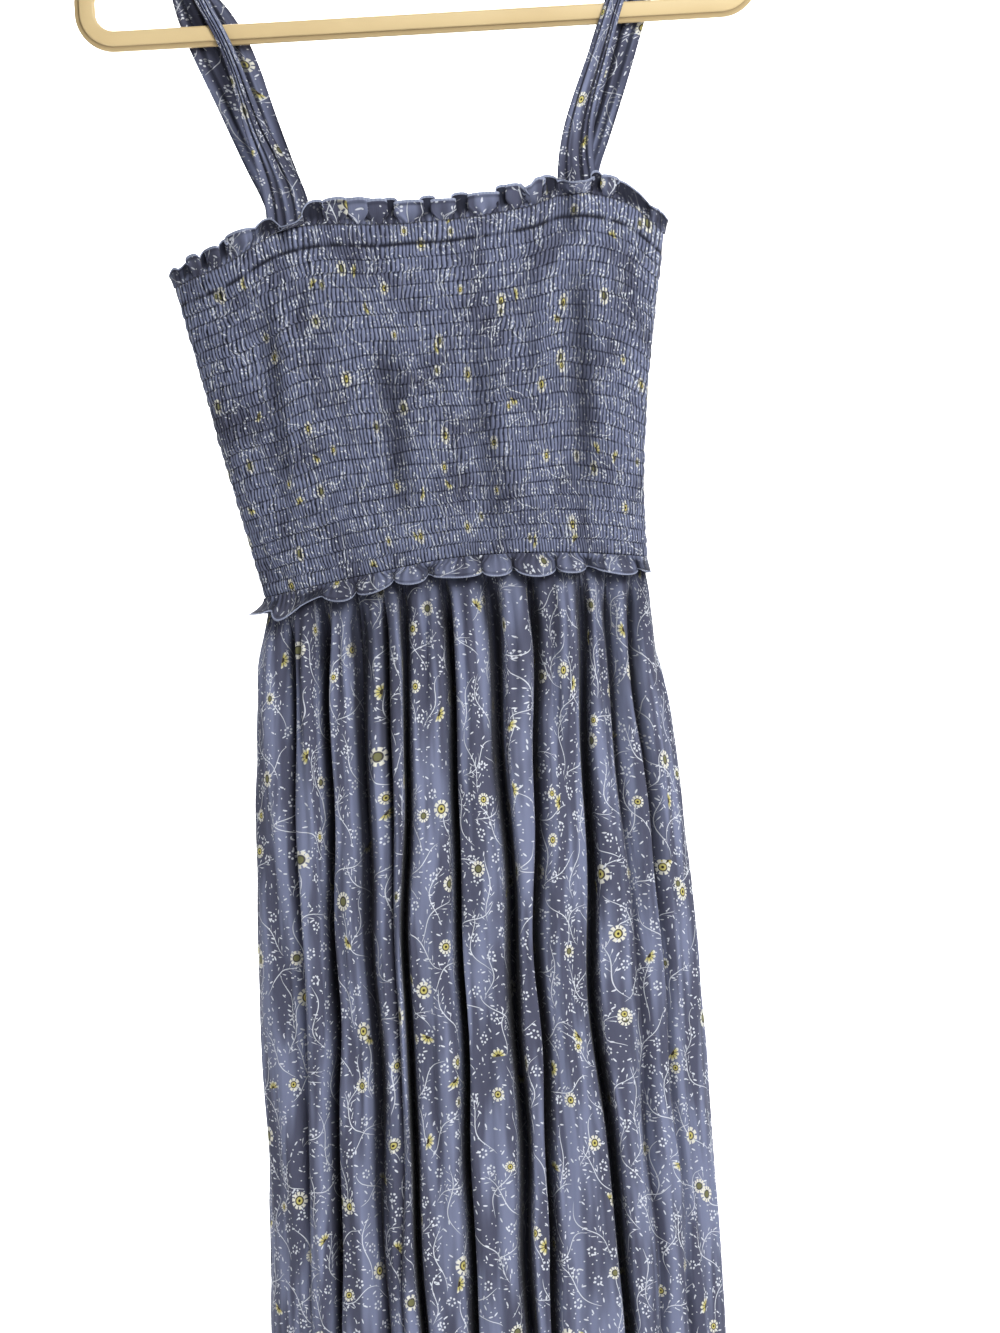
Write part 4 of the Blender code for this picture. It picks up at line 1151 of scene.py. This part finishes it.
def printed_cloth(look):
    """Slate blue crinkled viscose, printed all over with small flowers, stems and leaves, with painted
    shade in its creases and in soft streaks and patches of the drape.
    """
    found = bpy.data.materials.get("printed viscose")
    if found is not None:
        return found
    finish = Finish("printed viscose")
    u, v = finish.cloth_place()
    lines = stems(finish, u, v, pitch_u=20.0, pitch_v=46.0, turn=0.35, seed=11.0, length=40.0)
    for layer in (
            stems(finish, u, v, pitch_u=29.0, pitch_v=42.0, turn=-0.75, seed=23.0, length=34.0),
            buds(finish, u, v, pitch=17.0, turn=0.5, seed=31.0),
            leaves(finish, u, v, pitch=8.2, turn=0.2, seed=41.0, long=1.5, wide=0.46),
            leaves(finish, u, v, pitch=5.2, turn=0.9, seed=43.0, long=0.50, wide=0.36)):
        lines = lines.larger(layer)
    # Painted shade of the drape's soft folds: long streaks on most pieces, broad patches on the
    # smocked panels.
    painted_drape_streak = finish.streaks(u, v, 0.075, 0.009)
    smocked = abs(fold_marks(finish)[0]).over(0.001)
    painted_drape_patch = finish.streaks(u, v, 0.020, 0.024, layer=5.0)
    full = painted_drape_streak.rise(0.42, 0.62) * (1.0 - smocked) + painted_drape_patch.rise(0.24, 0.58) * smocked
    ground = finish.mixed(full, look.ground_shade, look.ground)
    colour = finish.mixed(lines, ground, look.stem)
    colour = half_flowers(finish, colour, u, v, look, pitch=70.0, turn=0.15, seed=67.0)
    colour = flowers(finish, colour, u, v, look, pitch=58.0, turn=0.45, seed=53.0, size=5.6,
                     spread=43.0)
    colour = flowers(finish, colour, u, v, look, pitch=60.0, turn=-0.30, seed=61.0, size=4.2,
                     spread=48.0)
    colour = finish.mixed(crease_shadow(finish, u, v), colour, look.shadow)
    finish.feed(finish.shader.inputs["Base Color"], colour)
    crinkle = finish.streaks(u, v, 0.9, 0.12, detail=3.0)
    grain = finish.noise(finish.vector(u, v, 0.0), 2.2, 1.0)
    finish.bump(crinkle + grain * 0.35, 0.5, 0.0005)
    finish.constants(Roughness=0.82, Specular_IOR_Level=0.14, Sheen_Weight=look.sheen,
                     Sheen_Roughness=0.5)
    return finish.material


def hem_cloth(look):
    """The rolled hem's bare edge, a little lighter than the ground."""
    found = bpy.data.materials.get("rolled hem")
    if found is not None:
        return found
    finish = Finish("rolled hem")
    u, _ = finish.cloth_place()
    stitch_pitch = 1.6
    stitches = (u * (1.0 / stitch_pitch)).fraction().rise(0.35, 0.5)
    colour = finish.mixed(stitches * 0.35 + 0.3, look.ground, look.hem)
    finish.feed(finish.shader.inputs["Base Color"], colour)
    finish.bump(stitches, 0.4, 0.0003)
    finish.constants(Roughness=0.8, Specular_IOR_Level=0.25, Sheen_Weight=look.sheen)
    return finish.material


def moulding_finish(look):
    """Smooth pale gold moulding with a faint satin grain and painted shade along its lip."""
    finish = Finish("pale moulding")
    place = finish.node("ShaderNodeTexCoord", {}, {}).outputs["Object"]
    patches = finish.noise(place, 14.0, 3.0)
    grain = finish.noise(place, 420.0, 2.0)
    # The frame's marks give the painted shade along the recessed lip.
    _, _, ledge = fold_marks(finish)
    colour = finish.mixed(patches.rise(0.35, 0.7), look.moulding, look.moulding_shade)
    colour = finish.mixed(ledge, colour, look.ledge_shade)
    finish.feed(finish.shader.inputs["Base Color"], colour)
    finish.feed(finish.shader.inputs["Roughness"], patches * 0.12 + 0.40)
    finish.bump(grain, 0.12, 0.0002)
    finish.constants(Specular_IOR_Level=0.4)
    return finish.material


def wire_finish(look):
    """Plated wire with a light fine grain."""
    finish = Finish("plated wire")
    place = finish.node("ShaderNodeTexCoord", {}, {}).outputs["Object"]
    grain = finish.noise(place, 600.0, 2.0)
    finish.feed(finish.shader.inputs["Roughness"], grain * 0.2 + 0.22)
    finish.bump(grain, 0.1, 0.0001)
    finish.constants(Base_Color=(*look.wire, 1.0), Metallic=1.0)
    return finish.material


# Settings


def plain_colour(name, description, default):
    """Setting for a plain colour."""
    return bpy.props.FloatVectorProperty(name=name, description=description, default=default,
                                         subtype="COLOR", size=3, min=0.0, max=1.0)


class DRESS_PG_cloth(bpy.types.PropertyGroup):
    """Look of the cloth"""
    thickness: bpy.props.FloatProperty(
        name="Cloth thickness", description="Thickness of the thin cloth", default=0.0005,
        min=0.0002, max=0.002, unit="LENGTH", precision=5)
    ground: plain_colour("Ground", "Colour between the printed motifs", (0.190, 0.213, 0.325))
    # Ground colour in the painted shade of the drape's soft streaks and patches.
    ground_shade: plain_colour("Ground in streaks", "Duller ground in soft long streaks",
                               (0.080, 0.085, 0.132))
    petal: plain_colour("Petals", "Cream colour of the petals", (0.74, 0.73, 0.64))
    stem: plain_colour("Stems", "Pale colour of stems, leaves and dots", (0.68, 0.71, 0.77))
    yellow: plain_colour("Yellow middles", "Middle of the brighter flowers", (0.56, 0.50, 0.16))
    olive: plain_colour("Olive middles", "Middle of the duller flowers", (0.17, 0.17, 0.08))
    brown: plain_colour("Brown rings", "Dark ring and dot in a flower", (0.04, 0.03, 0.02))
    shadow: plain_colour("Creases", "Colour deep in a closed crease", (0.010, 0.011, 0.020))
    hem: plain_colour("Hem", "Stitched edge of the frills", (0.35, 0.39, 0.50))
    sheen: bpy.props.FloatProperty(
        name="Sheen", description="Soft glow of the cloth at grazing angles", default=0.07,
        min=0.0, max=1.0, subtype="FACTOR")


class DRESS_PG_form(bpy.types.PropertyGroup):
    """Fineness and depth of gathers and folds"""
    gathers_front: bpy.props.IntProperty(
        name="Front gathers", description="Upright gathers across the front panel", default=130,
        min=20, max=200)
    gathers_back: bpy.props.IntProperty(
        name="Back gathers", description="Upright gathers across the back panel", default=110,
        min=20, max=200)
    gather_relief: bpy.props.FloatProperty(
        name="Gather height", description="Height of an upright gather, in millimetres",
        default=1.25, min=0.0, max=2.0)
    fold_depth: bpy.props.FloatProperty(
        name="Fold depth", description="Depth of the skirt's folds, as a share of the table's",
        default=1.0, min=0.2, max=1.5, subtype="FACTOR")
    waist_gather: bpy.props.FloatProperty(
        name="Waist gathers", description="Depth of the small gathers at the waist, in millimetres",
        default=3.2, min=0.0, max=6.0)


class DRESS_PG_hanger(bpy.types.PropertyGroup):
    """Look of the hanger"""
    moulding: plain_colour("Moulding", "Colour of the hanger's frame", (0.66, 0.51, 0.27))
    moulding_shade: plain_colour("Moulding shade", "Slightly darker patches of the frame",
                                 (0.61, 0.46, 0.235))
    # Colour of the painted shade along the frame's recessed lip.
    ledge_shade: plain_colour("Ledge shade", "Darkest colour along the frame's thinner lip",
                              (0.30, 0.21, 0.10))
    wire: plain_colour("Wire", "Colour of the hook", (0.80, 0.64, 0.38))


class DRESS_PG_studio(bpy.types.PropertyGroup):
    """Light, floor and camera"""
    paper: plain_colour("Floor and wall", "Colour of the pale floor and wall", (0.92, 0.92, 0.92))
    key_power: bpy.props.FloatProperty(
        name="Main light", description="Power of the large light in front", default=46.0,
        min=0.0, max=500.0, unit="POWER")
    side_power: bpy.props.FloatProperty(
        name="Side light", description="Power of the weaker light from the left", default=4.0,
        min=0.0, max=500.0, unit="POWER")
    wall_power: bpy.props.FloatProperty(
        name="Wall light", description="Power of the light on the wall behind", default=680.0,
        min=0.0, max=1000.0, unit="POWER")
    room: bpy.props.FloatProperty(
        name="Room light", description="Strength of the even light from all round", default=0.06,
        min=0.0, max=2.0)
    distance: bpy.props.FloatProperty(
        name="Camera distance", description="From the camera to the front of the dress",
        default=1.6, min=0.5, max=5.0, unit="LENGTH")


# Pieces


class DRESS_OT_smocked_bodice(bpy.types.Operator):
    """Make the two shirred panels of the bodice"""
    bl_idname = "dress.smocked_bodice"
    bl_label = "Smocked bodice"

    def execute(self, context):
        form_settings = context.scene.dress_form
        for face, gathers, columns_each, start in (
                (FRONT, form_settings.gathers_front, 3, (0.0, 0.0)),
                (BACK, form_settings.gathers_back, 2, (1.0, 0.0))):
            form, rows = smocked_form(face, gathers, form_settings.gather_relief)
            made, cut = cloth_piece(f"bodice_{side_name(face)}", gathers * columns_each, rows,
                                    form, face == BACK, start, fullness=SMOCKED_FULLNESS)
        return {"FINISHED"}


class DRESS_OT_neck_frills(bpy.types.Operator):
    """Make the frills that stand above the first shirring row"""
    bl_idname = "dress.neck_frills"
    bl_label = "Neck frills"

    def execute(self, context):
        for face, waves, start in ((FRONT, 16, (0.0, 0.3)), (BACK, 14, (1.0, 0.3))):
            side = side_name(face)
            made, cut = cloth_piece(f"neck_frill_{side}", FRILL_COLUMNS, FRILL_ROWS,
                                    neck_frill_form(face, waves), face == BACK, start,
                                    hem_rows=2)
        return {"FINISHED"}


class DRESS_OT_waist_frills(bpy.types.Operator):
    """Make the frills that hang over the skirt's seam"""
    bl_idname = "dress.waist_frills"
    bl_label = "Waist frills"

    def execute(self, context):
        for face, waves, start in ((FRONT, 10, (0.0, 0.4)), (BACK, 9, (1.0, 0.4))):
            side = side_name(face)
            made, cut = cloth_piece(f"waist_frill_{side}", FRILL_COLUMNS, FRILL_ROWS,
                                    waist_frill_form(face, waves), face == BACK, start,
                                    hem_rows=-1)
        return {"FINISHED"}


class DRESS_OT_skirt(bpy.types.Operator):
    """Make the two gathered panels of the skirt"""
    bl_idname = "dress.skirt"
    bl_label = "Gathered skirt"

    def execute(self, context):
        form_settings = context.scene.dress_form
        for face, folds, columns_each, rows, start in (
                (FRONT, FRONT_FOLDS, 28, 140, (2.0, 0.0)), (BACK, BACK_FOLDS, 24, 110, (3.0, 0.0))):
            side = side_name(face)
            made, cut = cloth_piece(f"skirt_{side}", (len(folds) + 1) * columns_each, rows,
                                    skirt_form(face, folds, form_settings), face == BACK, start,
                                    hem_rows=-1)
        return {"FINISHED"}


class DRESS_OT_straps(bpy.types.Operator):
    """Make the two shoulder straps over the hanger's arms"""
    bl_idname = "dress.straps"
    bl_label = "Shoulder straps"

    def execute(self, context):
        for side, front_run, back_run, folds, start in (
                ("left", LEFT_FRONT_RUN, LEFT_BACK_RUN, LEFT_STRAP_FOLDS, (4.0, 0.0)),
                ("right", RIGHT_FRONT_RUN, RIGHT_BACK_RUN, RIGHT_STRAP_FOLDS, (4.2, 0.0))):
            made, cut = cloth_piece(f"strap_{side}", STRAP_COLUMNS, STRAP_ROWS,
                                    strap_form(front_run, back_run, folds), False, start)
        return {"FINISHED"}


def frame_path():
    """Middle line of the hanger's frame, with the outward direction at each point."""
    half = HANGER_WIDTH / 2.0 - BAR_HEIGHT / 2.0
    upright = math.pi / 2.0
    leaning = upright - ARM_SLOPE
    neck_x = NECK_RADIUS * math.sin(ARM_SLOPE)
    neck_z = float(arm_middle(neck_x)) - NECK_RADIUS * math.cos(ARM_SLOPE)
    path = []
    for x, z, radius, start, end in (
            (half - CORNER_RADIUS, CORNER_RADIUS, CORNER_RADIUS, -upright, 0.0),
            (half - SHOULDER_RADIUS, CORNER_RADIUS + SIDE_RISE, SHOULDER_RADIUS, 0.0, leaning),
            (0.0, neck_z, NECK_RADIUS, leaning, upright)):
        for turn in np.linspace(start, end, ARC_STEPS + 1):
            path.append((x + radius * math.cos(turn), z + radius * math.sin(turn), turn))
    mirrored = [(-x, z, math.pi - turn) for x, z, turn in reversed(path[:-1])]
    return np.array(path + mirrored + path[:1])


def frame_profile():
    """Section of the frame: distance outwards and depth, round a closed line."""
    half_height = BAR_HEIGHT / 2.0
    half_body = BAR_THICKNESS / 2.0
    half_ledge = LEDGE_THICKNESS / 2.0
    rounding = 1.6
    corner = [blend(math.pi, math.pi / 2.0, step / 5.0) for step in range(6)]
    upper = [(-half_height + rounding + rounding * math.cos(turn),
              half_body - rounding + rounding * math.sin(turn)) for turn in corner]
    step_out = half_height - LEDGE_HEIGHT
    upper += [(step_out - 0.8, half_body), (step_out - 0.25, half_body - 0.25),
              (step_out, half_body - 0.8), (step_out + 0.15, half_ledge + 0.2),
              (step_out + 0.4, half_ledge), (half_height - 0.6, half_ledge),
              (half_height - 0.15, half_ledge - 0.25), (half_height, half_ledge - 0.8)]
    lower = [(out, -depth) for out, depth in reversed(upper)]
    return np.array(upper + lower + upper[:1])


def moulded_frame():
    """Hanger frame as a closed moulding with a thinner lip along its outside."""
    path = frame_path()
    profile = frame_profile()

    def form(across, down):
        out, depth = profile[np.rint(across * (len(profile) - 1)).astype(int)].T
        x, z, turn = path[np.rint(down * (len(path) - 1)).astype(int)].T
        points = np.stack((x + out * np.cos(turn), depth, z + out * np.sin(turn)), axis=-1)
        # Painted shade on the recessed lip, darkest in a line at the step.
        past_step = out - (BAR_HEIGHT / 2.0 - LEDGE_HEIGHT)
        shade = 0.45 * (past_step > 0.1) + 0.5 * np.exp(-((past_step - 0.2) / 0.3) ** 2)
        return marked(points, 0.0, 0.5, shade)

    return swept_mesh("hanger_frame_moulding", len(path) - 1, len(profile) - 1, form)


def hook_route():
    """Middle line of the hook's wire: a stem out of the neck and an open loop."""
    frame_top = NECK_RADIUS + float(arm_middle(NECK_RADIUS * math.sin(ARM_SLOPE)))
    frame_top += BAR_HEIGHT / 2.0 - NECK_RADIUS * math.cos(ARM_SLOPE)
    stem_foot = frame_top + SEAM_GAP
    middle = stem_foot + HOOK_STEM + HOOK_RADIUS * HOOK_RISE
    loop = [(HOOK_RADIUS * math.cos(turn), middle + HOOK_RADIUS * math.sin(turn))
            for turn in np.linspace(HOOK_START, HOOK_END, HOOK_STEPS + 1)]
    lead_x, lead_z = loop[0]
    bend = stem_foot + HOOK_STEM * 0.6
    return np.array([(0.0, stem_foot), (0.0, bend), (lead_x * 0.12, blend(bend, lead_z, 0.30)),
                     (lead_x * 0.50, blend(bend, lead_z, 0.68)), *loop])


def wire_hook():
    """Round wire along the hook's route, with closed rounded ends."""
    route = hook_route()
    fine = np.linspace(0.0, len(route) - 1.0, WIRE_STEPS)
    low = np.clip(fine.astype(int), 0, len(route) - 2)
    slopes = np.gradient(route, axis=0)
    line = between(route[low], route[low + 1], slopes[low], slopes[low + 1],
                   (fine - low)[:, None])
    heading = np.gradient(line, axis=0)
    heading /= np.linalg.norm(heading, axis=1)[:, None]
    radius = np.full(len(line), HOOK_WIRE / 2.0)
    radius[-len(HOOK_TIP):] *= HOOK_TIP
    radius[0] = 0.0
    line[0] = line[1]

    def form(across, down):
        number = np.rint(down * (len(line) - 1)).astype(int)
        turn = np.rint(across * WIRE_AROUND) % WIRE_AROUND / WIRE_AROUND * TAU
        side = radius[number] * np.cos(turn)
        x = line[number, 0] + side * heading[number, 1]
        z = line[number, 1] - side * heading[number, 0]
        return np.stack((x, radius[number] * np.sin(turn), z), axis=-1)

    return swept_mesh("hanger_hook_wire", len(line) - 1, WIRE_AROUND, form)


class DRESS_OT_hanger(bpy.types.Operator):
    """Make the hanger's moulded frame and its wire hook"""
    bl_idname = "dress.hanger"
    bl_label = "Hanger"

    def execute(self, context):
        look = context.scene.dress_hanger
        for data, finish, node, slot in (
                (moulded_frame(), moulding_finish(look), "hanger_frame", "hanger_moulding"),
                (wire_hook(), wire_finish(look), "hanger_hook", "hook_wire")):
            data.materials.append(finish)
            made = show(data.name, data)
            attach(made, "root")
            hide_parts(node)
        return {"FINISHED"}


def soft_light(name, place, aim, size, power):
    """Rectangular light that faces a point."""
    lamp = bpy.data.lights.new(name, "AREA")
    lamp.shape = "RECTANGLE"
    lamp.size, lamp.size_y = size
    lamp.energy = power
    made = bpy.data.objects.new(name, lamp)
    bpy.context.scene.collection.objects.link(made)
    made.location = place
    made.rotation_euler = (Vector(aim) - Vector(place)).to_track_quat("-Z", "Y").to_euler()


class DRESS_OT_studio(bpy.types.Operator):
    """Make the pale floor and wall, the soft lights and the camera"""
    bl_idname = "dress.studio"
    bl_label = "Studio"

    def execute(self, context):
        studio = context.scene.dress_studio
        low, high = CAD_BOX
        floor_z = low.z - FLOOR_BELOW
        wall_y = high.y + WALL_BEHIND

        def paper(across, down):
            """Wall, rounded corner and floor in one sheet, from top to front."""
            turned_by = np.clip((down - WALL_END) / (FLOOR_START - WALL_END), 0.0, 1.0)
            bend = turned_by * math.pi / 2.0
            on_wall = np.clip(WALL_END - down, 0.0, 1.0) * WALL_STRETCH
            on_floor = np.clip(down - FLOOR_START, 0.0, 1.0) * FLOOR_STRETCH
            x = (across - 0.5) * PAPER_WIDTH
            y = wall_y - SWEEP * (1.0 - np.cos(bend)) - on_floor
            z = floor_z + SWEEP * (1.0 - np.sin(bend)) + on_wall
            return np.stack((x, y, z), axis=-1) / MM + np.array((0.0, 0.0, HOOK_REST))

        data, _, _, _ = sheet_mesh("floor_and_wall", PAPER_COLUMNS, PAPER_ROWS, paper)
        finish = Finish("matt paper")
        finish.constants(Base_Color=(*studio.paper, 1.0), Roughness=0.9)
        data.materials.append(finish.material)
        show("floor_and_wall", data)

        world = bpy.data.worlds.new("room")
        world.use_nodes = True
        room = world.node_tree.nodes["Background"]
        room.inputs["Color"].default_value = (1.0, 1.0, 1.0, 1.0)
        room.inputs["Strength"].default_value = studio.room
        context.scene.world = world
        aim = (0.0, 0.0, -0.6)
        soft_light("main light", place=(0.85, -1.6, 0.45), aim=aim, size=(1.0, 1.0),
                   power=studio.key_power)
        soft_light("side light", place=(-1.2, -2.0, -0.5), aim=aim, size=(1.0, 1.6),
                   power=studio.side_power)
        soft_light("wall light", place=(0.0, wall_y - 2.8, 2.6), aim=(0.0, wall_y, -0.6),
                   size=(5.0, 1.2), power=studio.wall_power)

        camera = bpy.data.cameras.new("camera")
        camera.sensor_width = SENSOR
        camera.lens = SENSOR * studio.distance / VIEW_HEIGHT
        camera.clip_end = 50.0
        made = bpy.data.objects.new("camera", camera)
        context.scene.collection.objects.link(made)
        right = Vector((math.cos(CAMERA_ROLL), 0.0, -math.sin(CAMERA_ROLL)))
        up = Vector((math.sin(CAMERA_ROLL), 0.0, math.cos(CAMERA_ROLL)))
        toward = Vector((0.0, -1.0, 0.0))
        turn = Matrix((right, up, toward)).transposed()
        made.rotation_euler = turn.to_euler()
        made.location = VIEW_MIDDLE + toward * studio.distance
        context.scene.camera = made
        context.scene.view_settings.view_transform = "Standard"
        return {"FINISHED"}


class DRESS_PT_panel(bpy.types.Panel):
    """The dress's settings and its pieces"""
    bl_idname = "DRESS_PT_panel"
    bl_label = "Smocked dress"
    bl_space_type = "VIEW_3D"
    bl_region_type = "UI"
    bl_category = "Dress"

    def draw(self, context):
        scene = context.scene
        for title, group in (("Cloth", scene.dress_cloth), ("Form", scene.dress_form),
                             ("Hanger", scene.dress_hanger), ("Studio", scene.dress_studio)):
            box = self.layout.box()
            box.label(text=title)
            for key in group.__annotations__:
                box.prop(group, key)
        for operator in OPERATORS:
            self.layout.operator(operator.bl_idname)


GROUPS = (
    ("dress_cloth", DRESS_PG_cloth),
    ("dress_form", DRESS_PG_form),
    ("dress_hanger", DRESS_PG_hanger),
    ("dress_studio", DRESS_PG_studio),
)
OPERATORS = (
    DRESS_OT_hanger,
    DRESS_OT_straps,
    DRESS_OT_smocked_bodice,
    DRESS_OT_neck_frills,
    DRESS_OT_waist_frills,
    DRESS_OT_skirt,
    DRESS_OT_studio,
)


def register():
    for name, group in GROUPS:
        bpy.utils.register_class(group)
        setattr(bpy.types.Scene, name, bpy.props.PointerProperty(type=group))
    for operator in OPERATORS:
        bpy.utils.register_class(operator)
    bpy.utils.register_class(DRESS_PT_panel)


def unregister():
    bpy.utils.unregister_class(DRESS_PT_panel)
    for operator in reversed(OPERATORS):
        bpy.utils.unregister_class(operator)
    for name, group in reversed(GROUPS):
        delattr(bpy.types.Scene, name)
        bpy.utils.unregister_class(group)


def main():
    """Makes every piece in order."""
    register()
    bpy.ops.dress.hanger()
    bpy.ops.dress.straps()
    bpy.ops.dress.smocked_bodice()
    bpy.ops.dress.neck_frills()
    bpy.ops.dress.waist_frills()
    bpy.ops.dress.skirt()
    bpy.ops.dress.studio()


if __name__ == "__main__":
    main()
